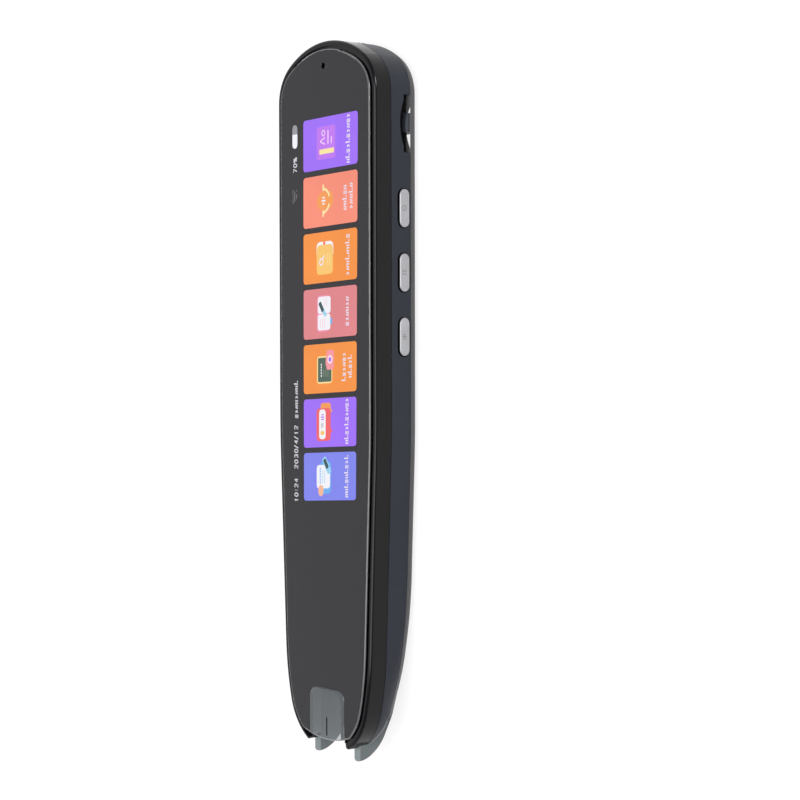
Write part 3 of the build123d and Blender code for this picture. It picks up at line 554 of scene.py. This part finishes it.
# ---------------------------------------------------------------- display picture
TILE_FIRST_X = 53.46           # centre of the tile nearest the round end
TILE_PITCH = 11.648
TILE_WIDTH = 10.475
TILE_HEIGHT = 18.55
TILE_CORNER = 0.75
TILE_Y = (-1.175, -0.635)      # middle of the first and of the last tile
TILE_NARROWING = 0.0367        # the last tile is lower than the first by this share
PICTURE_LEAN = -0.0618         # the picture leans a little on its panel, less toward the round end
PICTURE_LEAN_CHANGE = 0.0005
PICTURE_MIDDLE_X = 20.0        # away from here its points move toward the round end,
PICTURE_STRETCH = 0.00049      # by this times the square of their distance
LAYER = 0.006

VIOLET = lit("lit_violet", srgb(158, 105, 250))
CORAL = lit("lit_coral", srgb(250, 140, 112))
ORANGE = lit("lit_orange", srgb(250, 145, 45))
PINK = lit("lit_pink", srgb(226, 130, 133))
PERIWINKLE = lit("lit_periwinkle", srgb(124, 130, 238))
LILAC = lit("lit_lilac", srgb(193, 116, 240))
LILAC_PALE = lit("lit_lilac_pale", srgb(240, 200, 250))
CREAM = lit("lit_cream", srgb(253, 232, 160))
YELLOW = lit("lit_yellow", srgb(252, 200, 104))
YELLOW_PALE = lit("lit_yellow_pale", srgb(254, 226, 150))
AMBER = lit("lit_amber", srgb(248, 156, 76))
WHITE = lit("lit_white", srgb(246, 246, 250))
LABEL_WHITE = lit("lit_label", srgb(236, 226, 238))
FIGURE_WHITE = lit("lit_figure", srgb(214, 214, 220))
ROSE = lit("lit_rose", srgb(246, 142, 170))
ROSE_PALE = lit("lit_rose_pale", srgb(250, 214, 222))
RED = lit("lit_red", srgb(244, 92, 96))
TEAL_DARK = lit("lit_teal", srgb(38, 74, 78))
GREEN_DARK = lit("lit_green", srgb(70, 96, 78))
GREEN_PALE = lit("lit_green_pale", srgb(116, 132, 112))
SKY = lit("lit_sky", srgb(98, 176, 242))
SKY_PALE = lit("lit_sky_pale", srgb(150, 212, 240))
PEACH = lit("lit_peach", srgb(247, 184, 150))
BADGE_PINK = lit("lit_badge", srgb(250, 150, 158))
DIM = lit("lit_dim", srgb(98, 96, 102))
GREY = lit("lit_grey", srgb(150, 150, 154))


def on_panel(x, y):
    """Where a point of the upright picture lies on the panel; y counts from the tiles' middle line."""
    share = (TILE_FIRST_X - x) / (TILE_PITCH * (len(TILES) - 1))
    middle = TILE_Y[0] + (TILE_Y[1] - TILE_Y[0]) * share
    across = middle + y * (1 - TILE_NARROWING * share)
    lean = PICTURE_LEAN + PICTURE_LEAN_CHANGE * x
    return x + PICTURE_STRETCH * (x - PICTURE_MIDDLE_X) ** 2 + lean * across, across


def peak_and_ring(put, x, y, level, material):
    """A peak beside a ring, for the larger signs of the icons."""
    for side in (-1, 1):
        put(rounded_rect(0.3, 1.85, 0.12, 2), x - 0.75 + 0.36 * side, y + 0.1, level, material, 22 * side)
    put(arc_band(0.5, 0.3, 0, 360, 20), x + 0.85, y - 0.15, level, material)


def rules(put, x, rows, width, height, level, material):
    """Thin level lines, one under another."""
    for y in rows:
        put(rounded_rect(width, height, height * 0.45, 2), x, y, level, material)


def pen(put, x, y, level, outline=None):
    """Dark slanting pen with a pale blue point."""
    if outline:
        put(rounded_rect(4.0, 1.5, 0.5), x - 0.35, y - 0.25, level, outline, 34)
    put(rounded_rect(1.9, 0.85, 0.2), x - 1.25, y - 1.0, level + 1, SKY_PALE, 42)
    put(rounded_rect(2.3, 0.95, 0.22), x, y, level + 2, TEAL_DARK, 33)


def icon_pages(put):
    """Lilac page with a cream spine, a sign and two lines."""
    put(rounded_rect(6.6, 6.25, 0.35), 0.08, 1.39, 2, LILAC)
    put(rounded_rect(1.0, 4.96, 0.2), -1.67, 1.16, 3, CREAM)
    peak_and_ring(put, 1.2, 2.45, 3, LILAC_PALE)
    put(rounded_rect(2.8, 0.42, 0.2), 1.1, 0.7, 3, LILAC_PALE)
    put(rounded_rect(1.45, 0.4, 0.2), 0.43, -0.45, 3, LILAC_PALE)


def icon_voice(put):
    """Amber disc with sound bars, held by two cream arms."""
    put(ellipse(3.4, 1.9), 0.1, -0.2, 2, AMBER)
    put(ellipse(3.9, 4.3), 0, 2.35, 3, AMBER)
    for side in (-1, 1):
        start = 190 if side < 0 else 288
        put(arc_band(2.45, 0.5, start, start + 62), 0, 2.55, 4, CREAM)
        put(rounded_rect(1.3, 0.5, 0.15), 2.65 * side, 2.32, 4, CREAM)
        put(rounded_rect(0.34, 0.8, 0.14, 2), 0.62 * side, 2.2, 5, WHITE)
    put(rounded_rect(0.34, 1.35, 0.14, 2), 0, 2.2, 5, WHITE)


def icon_search(put):
    """Yellow card with a white edge and a magnifier."""
    put(rounded_rect(3.6, 5.85, 1.15), 1.45, 1.74, 2, WHITE)
    put(rounded_rect(1.0, 0.75, 0.1), 2.95, 1.95, 3, ORANGE)
    put(ellipse(0.6, steps=12), 2.83, 2.0, 4, RED)
    put(rounded_rect(6.15, 5.65, 1.0), -0.46, 1.75, 5, YELLOW)
    put(arc_band(0.62, 0.32, 0, 360, 20), -0.9, 2.95, 6, LABEL_WHITE)
    put(rounded_rect(1.1, 0.36, 0.15), 0.0, 2.2, 6, LABEL_WHITE, -42)
    rules(put, -0.5, (0.75, 0.0), 2.6, 0.22, 6, YELLOW_PALE)


def icon_note(put):
    """Open white book with a rose border, a blue tab and a pen."""
    put(rounded_rect(1.3, 1.2, 0.2), -1.75, -0.2, 2, SKY)
    put(rounded_rect(7.7, 4.3, 0.9), -0.05, 2.4, 3, ROSE)
    put(rounded_rect(3.35, 4.4, 0.6), -1.86, 2.0, 4, WHITE)
    put(rounded_rect(3.55, 4.45, 0.6), 1.74, 1.95, 4, WHITE)
    rules(put, -2.1, (3.3, 2.55, 1.8), 2.1, 0.26, 5, ROSE_PALE)
    rules(put, 2.2, (1.75, 1.1), 1.6, 0.22, 5, ROSE_PALE)
    pen(put, 1.4, 2.95, 4)


def icon_frame(put):
    """Dark green board in a cream frame, with a pink badge."""
    put(rounded_rect(5.83, 5.4, 0.7), -0.28, 1.8, 2, YELLOW_PALE)
    put(rounded_rect(5.15, 4.75, 0.35), -0.28, 1.75, 3, GREEN_DARK)
    for x in (-1.55, -0.95, -0.35, 0.25, 0.85):
        put(rounded_rect(0.42, 0.34, 0.1, 2), x, 2.95, 4, WHITE)
    rules(put, -1.0, (2.1, 1.35, 0.6), 1.6, 0.24, 4, GREEN_PALE)
    put(rounded_rect(4.2, 2.6, 0.55), 1.75, -0.15, 4, BADGE_PINK)
    put(rounded_rect(1.9, 0.8, 0.25), 1.5, 1.0, 4, BADGE_PINK)
    put(ellipse(1.9), 1.83, -0.1, 5, ROSE_PALE)
    put(ellipse(0.9, steps=16), 1.83, -0.1, 6, VIOLET)


def icon_speech(put):
    """Red speech bubble with a white field, before an amber one."""
    put(rounded_rect(3.2, 3.6, 0.7), 2.7, 1.4, 2, AMBER)
    put([(2.1, 0.0), (3.3, 0.0), (2.5, -1.05)], 0, 0, 2, AMBER)
    put(rounded_rect(7.05, 5.05, 0.9), -0.37, 2.15, 3, RED)
    put([(-2.6, -0.1), (-0.95, -0.1), (-1.75, -1.05)], 0, 0, 3, RED)
    put(rounded_rect(6.4, 2.3, 0.75), -0.3, 2.55, 4, WHITE)
    put(ellipse(0.95, 1.45), -2.15, 2.55, 5, YELLOW)
    put(rounded_rect(1.0, 0.22, 0.1, 2), -0.55, 2.8, 5, GREY)
    put(rounded_rect(1.0, 0.22, 0.1, 2), -0.45, 2.35, 5, GREY)
    for x, height in ((0.75, 1.0), (1.25, 1.3), (1.75, 0.8)):
        put(rounded_rect(0.28, height, 0.12, 2), x, 2.5, 5, LILAC)


def icon_card(put):
    """White card on a blue one, with a peach disc and a pen."""
    put(rounded_rect(7.0, 3.85, 0.9), -0.25, 1.42, 2, SKY)
    put(rounded_rect(5.15, 4.8, 0.8), -0.03, 2.2, 3, WHITE)
    put(ellipse(2.5, 1.95), -3.05, 3.08, 4, PEACH)
    for x in (-1.3, -0.7, -0.1, 0.5, 1.1, 1.7):
        put(rounded_rect(0.44, 0.4, 0.12, 2), x, 3.3, 4, SKY)
    rules(put, 0.0, (2.4, 1.7), 2.8, 0.2, 4, SKY_PALE)
    pen(put, 2.8, 1.25, 4, SKY_PALE)


TILES = (                      # name, colour, icon, and each line of marks as start, end and height
    ("tile_pages", VIOLET, icon_pages, ((-4.9, 5.1, -6.15),)),
    ("tile_record", CORAL, icon_voice, ((-2.67, 2.58, -5.15), (-2.67, 2.83, -7.23))),
    ("tile_search", ORANGE, icon_search, ((-4.46, 4.29, -6.15),)),
    ("tile_note", PINK, icon_note, ((-3.2, 3.04, -6.07),)),
    ("tile_frame", ORANGE, icon_frame, ((-3.08, 3.17, -5.07), (-2.4, 2.5, -7.15))),
    ("tile_speech", VIOLET, icon_speech, ((-4.8, 5.1, -6.07),)),
    ("tile_card", PERIWINKLE, icon_card, ((-4.75, 4.6, -6.07),)),
)
MARK_PITCH = 1.03
MARK_STROKE = 0.3
MARK_HEIGHT = 1.0
MARK_TALL = 1.45
MARKS = (                      # each mark: strokes as width, height, x, y and turn
    ((MARK_STROKE, MARK_HEIGHT, -0.26, 0, 0), (MARK_STROKE, MARK_HEIGHT, 0.26, 0, 0)),
    ((0.8, 0.26, 0, 0.38, 0), (0.8, 0.26, 0, -0.02, 0), (0.8, 0.26, 0, -0.42, 0)),
    ((MARK_STROKE, MARK_HEIGHT, -0.22, 0, -20), (MARK_STROKE, MARK_HEIGHT, 0.28, 0, -20)),
    ((MARK_STROKE, MARK_TALL, -0.25, 0.22, 0), (0.36, 0.36, 0.25, -0.3, 0)),
    ((0.62, MARK_STROKE, 0, 0.22, -38), (0.62, MARK_STROKE, 0, -0.22, 38)),
)


def mark_line(put, start, end, y, level, material, seed):
    """A line of plain strokes and dots, in place of a caption; the seed shifts the row of marks."""
    count = round((end - start) / MARK_PITCH)
    step = (end - start) / count
    for i in range(count):
        x = start + (i + 0.5) * step
        for width, height, dx, dy, turn in MARKS[(i * 3 + seed * 2 + i // 4) % len(MARKS)]:
            corner = min(width, height) * 0.4
            put(rounded_rect(width, height, corner, 2), x + dx, y + dy, level, material, turn)


def add_tiles(base):
    """The row of tiles, each with its icon and its lines of marks."""
    for index, (name, colour, icon, captions) in enumerate(TILES):
        cx = TILE_FIRST_X - TILE_PITCH * index
        plates = Plates(name, base, LAYER, lambda x, y, cx=cx: on_panel(cx + x, y))
        plates.put(rounded_rect(TILE_WIDTH, TILE_HEIGHT, TILE_CORNER), 0, 0, 1, colour)
        icon(plates.put)
        for row, (start, end, y) in enumerate(captions):
            mark_line(plates.put, start, end, y, 2, LABEL_WHITE, index + row)
        plates.finish("body", "screen")


FIGURE_HALF_WIDTH = 0.35       # of the middle line of a numeral's strokes
FIGURE_HALF_HEIGHT = 0.59
FIGURE_STROKE = 0.25


def curve(x, y, width, height, start, end, steps=12):
    """Part of an ellipse as a path, in shares of a numeral's half width and half height."""
    angles = [math.radians(start + (end - start) * step / steps) for step in range(steps + 1)]
    return [(x + width * math.cos(angle), y + height * math.sin(angle)) for angle in angles]


FIGURES = {                    # paths, in shares of the half width and half height
    "0": (curve(0, 0, 1, 1, 90, 450, 20),),
    "1": (((-0.6, 0.55), (0.1, 1), (0.1, -1)),),
    "2": (curve(0, 0.45, 1, 0.55, 165, -30) + [(-1, -1), (1, -1)],),
    "3": (curve(0, 0.5, 0.9, 0.5, 150, -90), curve(0, -0.5, 1, 0.5, 90, -150)),
    "4": (((0.5, -1), (0.5, 1)), ((0.5, 1), (-1, -0.4), (1, -0.4))),
    "7": (((-1, 1), (1, 1), (-0.3, -1)),),
    "/": (((-0.9, -1.25), (0.5, 1.25)),),
    ":": (((0, 0.3), (0, 0.62)), ((0, -0.62), (0, -0.3))),
    "%": (curve(-0.75, 0.5, 0.5, 0.4, 90, 450), curve(0.95, -0.5, 0.5, 0.4, 90, 450), ((-0.6, -1), (0.8, 1))),
}
FIGURE_STEP = 1.14
NARROW_STEP = 0.78             # room for a colon or a slash

STATUS_Y = 11.03               # middle line of the status strip
CLOCK_X = -22.0                # where the clock, the date and the charge figure start
DATE_X = -14.9
CHARGE_X = 48.3
DAY_X = (-4.0, 4.2)            # marks in place of the weekday
DAY_DROP = 0.2
SIGNAL_X = 43.4                # weak-signal waves, their middle below the strip's line, and a dot beside them
SIGNAL_DROP = 1.1
SIGNAL_RADII = (0.7, 1.45, 2.2)
SIGNAL_STROKE = 0.42
SIGNAL_DOT = (1.25, -0.5)
PILL_X = 56.1                  # battery pill
PILL_RISE = 0.07
PILL_LENGTH = 5.0
PILL_HEIGHT = 1.77
PILL_CORNER = 0.88
PILL_MARGIN = 0.15             # the charge is shorter than the pill by this at both ends
PILL_CHARGE_END = 0.65         # and is cut off here, counted from its middle


def write_figures(plates, text, x):
    """A clock time, date or charge in plain numerals, from x on."""
    for character in text:
        step = NARROW_STEP if character in ":/" else FIGURE_STEP
        for path in FIGURES[character]:
            points = [(x + step / 2 + px * FIGURE_HALF_WIDTH, STATUS_Y + py * FIGURE_HALF_HEIGHT)
                      for px, py in path]
            plates.ribbon(points, FIGURE_STROKE, 1, FIGURE_WHITE)
        x += step


def add_status_bar(base):
    """Clock and date as plain numerals, weak-signal waves, charge figure and battery pill."""
    plates = Plates("status_bar", base, LAYER)
    write_figures(plates, "10:24", CLOCK_X)
    write_figures(plates, "2030/4/12", DATE_X)
    mark_line(plates.put, *DAY_X, STATUS_Y - DAY_DROP, 1, FIGURE_WHITE, 3)
    for radius in SIGNAL_RADII:
        plates.put(arc_band(radius, SIGNAL_STROKE, 50, 130), SIGNAL_X, STATUS_Y - SIGNAL_DROP, 1, DIM)
    dot_x, dot_y = SIGNAL_DOT
    plates.put(ellipse(0.4, steps=12), SIGNAL_X + dot_x, STATUS_Y + dot_y, 1, DIM)
    write_figures(plates, "70%", CHARGE_X)
    pill_y = STATUS_Y + PILL_RISE
    plates.put(rounded_rect(PILL_LENGTH, PILL_HEIGHT, PILL_CORNER), PILL_X, pill_y, 1, GREY)
    charge = rounded_rect(PILL_LENGTH - 2 * PILL_MARGIN, PILL_HEIGHT, PILL_CORNER)
    charge = [(min(x, PILL_CHARGE_END), y) for x, y in charge]
    plates.put(charge, PILL_X - PILL_MARGIN, pill_y, 2, WHITE)
    plates.finish("body", "screen")


def add_picture():
    """The display's picture, on top of the panel."""
    base = node_box("display_panel")[1].z
    add_tiles(base)
    add_status_bar(base)


# ---------------------------------------------------------------- small prints
GUIDE_LINE_X = (-70.4, -66.4)
GUIDE_LINE_Y = -0.5
GUIDE_LINE_WIDTH = 0.36
GUIDE_LINE_CORNER = 0.1
# a tiny pale dot under the window, a painted glint
WINDOW_GLINT = (-63.7, 3.48)
WINDOW_GLINT_SIZE = 0.3


def add_window_print():
    """Black guide line printed on the scan window, and under it a tiny pale dot that paints a glint."""
    low, high = node_box("scan_window")
    start, end = GUIDE_LINE_X
    outline = rounded_rect(end - start, GUIDE_LINE_WIDTH, GUIDE_LINE_CORNER, 2)
    line = Plates("window_line", high.z, PRINT_THICKNESS)
    line.put(outline, (start + end) / 2, GUIDE_LINE_Y, 1, INK_BLACK)
    line.finish("body", "adhesive_black")
    # pale dot under the window: a painted glint
    dot = Plates("window_glint", low.z - PRINT_GAP - PRINT_THICKNESS, PRINT_THICKNESS)
    dot.put(ellipse(WINDOW_GLINT_SIZE, steps=12), *WINDOW_GLINT, 1, LAMP_AND_GLINT_WHITE)
    dot.finish("body", "lamp_white")


MARK_LAYER = 0.04              # a button's sign, from where it starts in the button
MARK_SUNK = 0.01
UPRIGHT = Matrix(((1, 0, 0, 0), (0, 0, -1, 0), (0, 1, 0, 0), (0, 0, 0, 1)))    # a plate's top then faces -Y


def add_button_marks():
    """Small raised signs on the buttons: ring, four dots, three bars."""
    signs = {
        "power_button": [(arc_band(0.5, 0.18, 120, 420, 20), 0, 0),
                         (rounded_rect(0.18, 0.55, 0.08, 2), 0, 0.42)],
        "mode_button": [(ellipse(0.34, steps=14), x, y) for x in (-0.32, 0.32) for y in (-0.32, 0.32)],
        "record_button": [(rounded_rect(0.2, height, 0.09, 2), x, 0)
                          for x, height in ((-0.42, 0.6), (0, 1.1), (0.42, 0.6))],
    }
    for name, shapes in signs.items():
        low, high = node_box(name)
        plates = Plates(name + "_mark", -low.y - MARK_SUNK, MARK_LAYER)
        for points, x, y in shapes:
            plates.put(points, (low.x + high.x) / 2 + x, (low.z + high.z) / 2 + y, 1, MARK_GREY)
        plates.finish(name, "button_silver", UPRIGHT)


# ---------------------------------------------------------------- painted highlight lines and webs at the tip
RIM_START_X = -66.1            # each painted highlight line runs along the housing's lower edge, from here to the tip
RIM_STOP_X = -71.6             # from here to the tip
RIM_RADIUS = 0.09
RIM_STEPS = 16
RIM_RING = 8
RIM_RAY_START = 5.0            # rays that look for the housing's edge start this far outside it,
RIM_RAY_STEP = 0.02            # at heights this far apart,
RIM_SIDE_Y = -5.0              # and find its side wall outside this place

LOBE_WEB_X = (-71.95, -70.6)   # small webs of the frame close the gaps between its lobes and the window
LOBE_WEB_Y = (5.5, 6.6)
LOBE_WEB_Z = (9.35, 11.3)
LOBE_WEB_EDGE = 0.2
BOX_FACES = ((0, 1, 3, 2), (4, 6, 7, 5), (0, 4, 5, 1), (2, 3, 7, 6), (0, 2, 6, 4), (1, 5, 7, 3))


def housing_end_path():
    """Points along the lower edge of the housing's end on the buttons' side, found on its mesh."""
    tree = BVHTree.FromObject(NODES["housing"], bpy.context.evaluated_depsgraph_get())
    low, high = node_box("housing")
    side_y = RIM_SIDE_Y * MM
    path = []
    for step in range(RIM_STEPS + 1):
        x = RIM_START_X + (RIM_STOP_X - RIM_START_X) * step / RIM_STEPS
        z = low.z
        hit = None
        while z < high.z and not (hit and hit.y < side_y):
            z += RIM_RAY_STEP
            hit = tree.ray_cast(Vector((x, low.y - RIM_RAY_START, z)) * MM, Vector((0, 1, 0)))[0]
        if hit and hit.y < side_y:
            path.append(hit)
    return path


def add_end_highlights():
    """Thin pale tubes where the housing's sides run out at the tip: painted highlight lines."""
    path = housing_end_path()
    radius = RIM_RADIUS * MM
    for side, name in ((1, "end_highlight_near"), (-1, "end_highlight_far")):
        mesh = bmesh.new()
        rings = []
        points = [Vector((point.x, point.y * side, point.z)) for point in path]
        for before, point, after in zip([points[0], *points], points, [*points[1:], points[-1]]):
            run = (after - before).normalized()
            across = run.cross(Vector((0, 0, 1))).normalized()
            upward = across.cross(run)
            angles = [2 * math.pi * i / RIM_RING for i in range(RIM_RING)]
            rings.append([mesh.verts.new(point + radius * (across * math.cos(a) + upward * math.sin(a)))
                          for a in angles])
        for first, second in zip(rings, rings[1:]):
            for i in range(RIM_RING):
                j = (i + 1) % RIM_RING
                mesh.faces.new((first[i], first[j], second[j], second[i]))
        mesh.faces.new(rings[0])
        mesh.faces.new(rings[-1][::-1])
        rim = new_piece(name, mesh, [PAINTED_HIGHLIGHT_GREY])
        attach(rim, "body")


def add_lobe_webs():
    """Webs on the inner faces of the frame's two lobes, over the nose guides."""
    for side, name in ((-1, "lobe_web_near"), (1, "lobe_web_far")):
        mesh = bmesh.new()
        corners = [mesh.verts.new(Vector((x, side * y, z)) * MM)
                   for x in LOBE_WEB_X for y in LOBE_WEB_Y for z in LOBE_WEB_Z]
        for face in BOX_FACES:
            mesh.faces.new([corners[i] for i in face])
        bmesh.ops.bevel(mesh, geom=mesh.edges[:], offset=LOBE_WEB_EDGE * MM, segments=3, profile=0.5,
                        affect="EDGES")
        web = new_piece(name, mesh, [FRAME_BLACK])
        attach(web, "body")


# ---------------------------------------------------------------- springs
def add_springs():
    """The nose's two coil springs, as an own copy of the CAD node's mesh on the body, with the node hidden.
    """
    node = NODES["nose_springs"]
    coils = bpy.data.objects.new("spring_coils", node.data.copy())
    coils.matrix_world = node.matrix_world
    bpy.context.scene.collection.objects.link(coils)
    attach(coils, "body")
    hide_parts("nose_springs")
    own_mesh(coils)


# ---------------------------------------------------------------- stage
FLOOR_SIZE = 6.0               # in metres, as are the softbox's place and size
FLOOR_TONE = 0.45              # white floor, as it lights the object
FLOOR_TONE_SEEN = 0.22         # as the camera and mirrors see it: part diffuse, which takes the shadow,
FLOOR_GLOW_SEEN = 0.84         # and part plain white

DIFFUSE_FRONT = 0.10           # plain light from all round, fuller from the backdrop's side
DIFFUSE_BACK = 0.70
BACKDROP_LEVEL = 0.95          # mirrors show the white backdrop behind the object
ROOM_LEVEL = 0.32              # and the dimmer room in front of it
FILL_TURN = (-0.6, 0.6)        # directions' Y between which the fill and the room change
ROOM_TURN = (-0.35, 0.6)
STRIP_DIRECTION = (0.45, -0.87, 0.14)    # a bright panel that only mirrors show, for the frame's glint
STRIP_EDGE = (0.982, 0.993)    # cosines of its rim and of its bright middle
STRIP_LEVEL = 22.0
SOFTBOX_PLACE = (0.0, -0.33, 0.73)
SOFTBOX_SIZE = (0.6, 0.8)
SOFTBOX_POWER = 5.8


def add_floor():
    """White floor that takes the object's shadow."""
    n = Nodes(bpy.data.materials.new("floor_white"))
    path = n.add("ShaderNodeLightPath").outputs
    seen = n.combined("MAXIMUM", path["Is Camera Ray"], path["Is Glossy Ray"], path["Is Transmission Ray"])
    diffuse = n.add("ShaderNodeBsdfDiffuse")
    tone = n.add("ShaderNodeCombineColor")
    for channel in ("Red", "Green", "Blue"):
        n.link(n.spread(seen, FLOOR_TONE, FLOOR_TONE_SEEN), tone.inputs[channel])
    n.link(tone.outputs["Color"], diffuse.inputs["Color"])
    glow = n.add("ShaderNodeEmission")
    n.link(n.spread(seen, 0.0, FLOOR_GLOW_SEEN), glow.inputs["Strength"])
    total = n.add("ShaderNodeAddShader")
    n.link(diffuse.outputs["BSDF"], total.inputs[0])
    n.link(glow.outputs["Emission"], total.inputs[1])
    white = n.finish(total.outputs["Shader"])
    mesh = bmesh.new()
    half = FLOOR_SIZE / 2
    corners = ((-half, -half), (half, -half), (half, half), (-half, half))
    mesh.faces.new([mesh.verts.new((x, y, 0.0)) for x, y in corners])
    new_piece("floor", mesh, [white])


def add_softbox():
    """Soft lamp over the buttons' side, turned to the object's middle."""
    data = bpy.data.lights.new("softbox", "AREA")
    data.shape = "RECTANGLE"
    data.size, data.size_y = SOFTBOX_SIZE
    data.energy = SOFTBOX_POWER
    lamp = bpy.data.objects.new("softbox", data)
    place = Vector(SOFTBOX_PLACE)
    lamp.matrix_world = Matrix.Translation(place) @ place.to_track_quat("Z", "Y").to_matrix().to_4x4()
    bpy.context.scene.collection.objects.link(lamp)


def add_light():
    """White backdrop for the camera, a level fill for diffuse light, and a graded room for mirrors."""
    world = bpy.data.worlds.new("studio")
    bpy.context.scene.world = world
    n = Nodes(world, "ShaderNodeOutputWorld", "Generated")
    side = n.part(n.place, "Y")
    room = n.spread(side, ROOM_LEVEL, BACKDROP_LEVEL, *ROOM_TURN, smooth=True)
    fill = n.spread(side, DIFFUSE_FRONT, DIFFUSE_BACK, *FILL_TURN, smooth=True)
    toward = n.add("ShaderNodeVectorMath", operation="DOT_PRODUCT")
    n.link(n.place, toward.inputs[0])
    toward.inputs[1].default_value = Vector(STRIP_DIRECTION).normalized()
    strip = n.spread(toward.outputs["Value"], 0.0, STRIP_LEVEL, *STRIP_EDGE, smooth=True)
    path = n.add("ShaderNodeLightPath").outputs
    mirrored = n.between(path["Is Glossy Ray"], fill, n.combined("ADD", room, strip))
    through = n.between(path["Is Transmission Ray"], mirrored, 1.0)
    level = n.between(path["Is Camera Ray"], through, 1.0)
    background = n.add("ShaderNodeBackground")
    background.inputs["Color"].default_value = (1, 1, 1, 1)
    n.link(level, background.inputs["Strength"])
    n.finish(background.outputs["Background"])
    add_softbox()


# ---------------------------------------------------------------- put together
def main():
    """Dress the CAD nodes, and add the scene's own pieces and the stage."""
    bpy.context.scene.view_settings.view_transform = "Standard"
    add_camera()
    paint_nodes()
    add_glass_print()
    add_picture()
    add_window_print()
    add_button_marks()
    add_end_highlights()
    add_lobe_webs()
    add_springs()
    add_floor()
    add_light()


main()
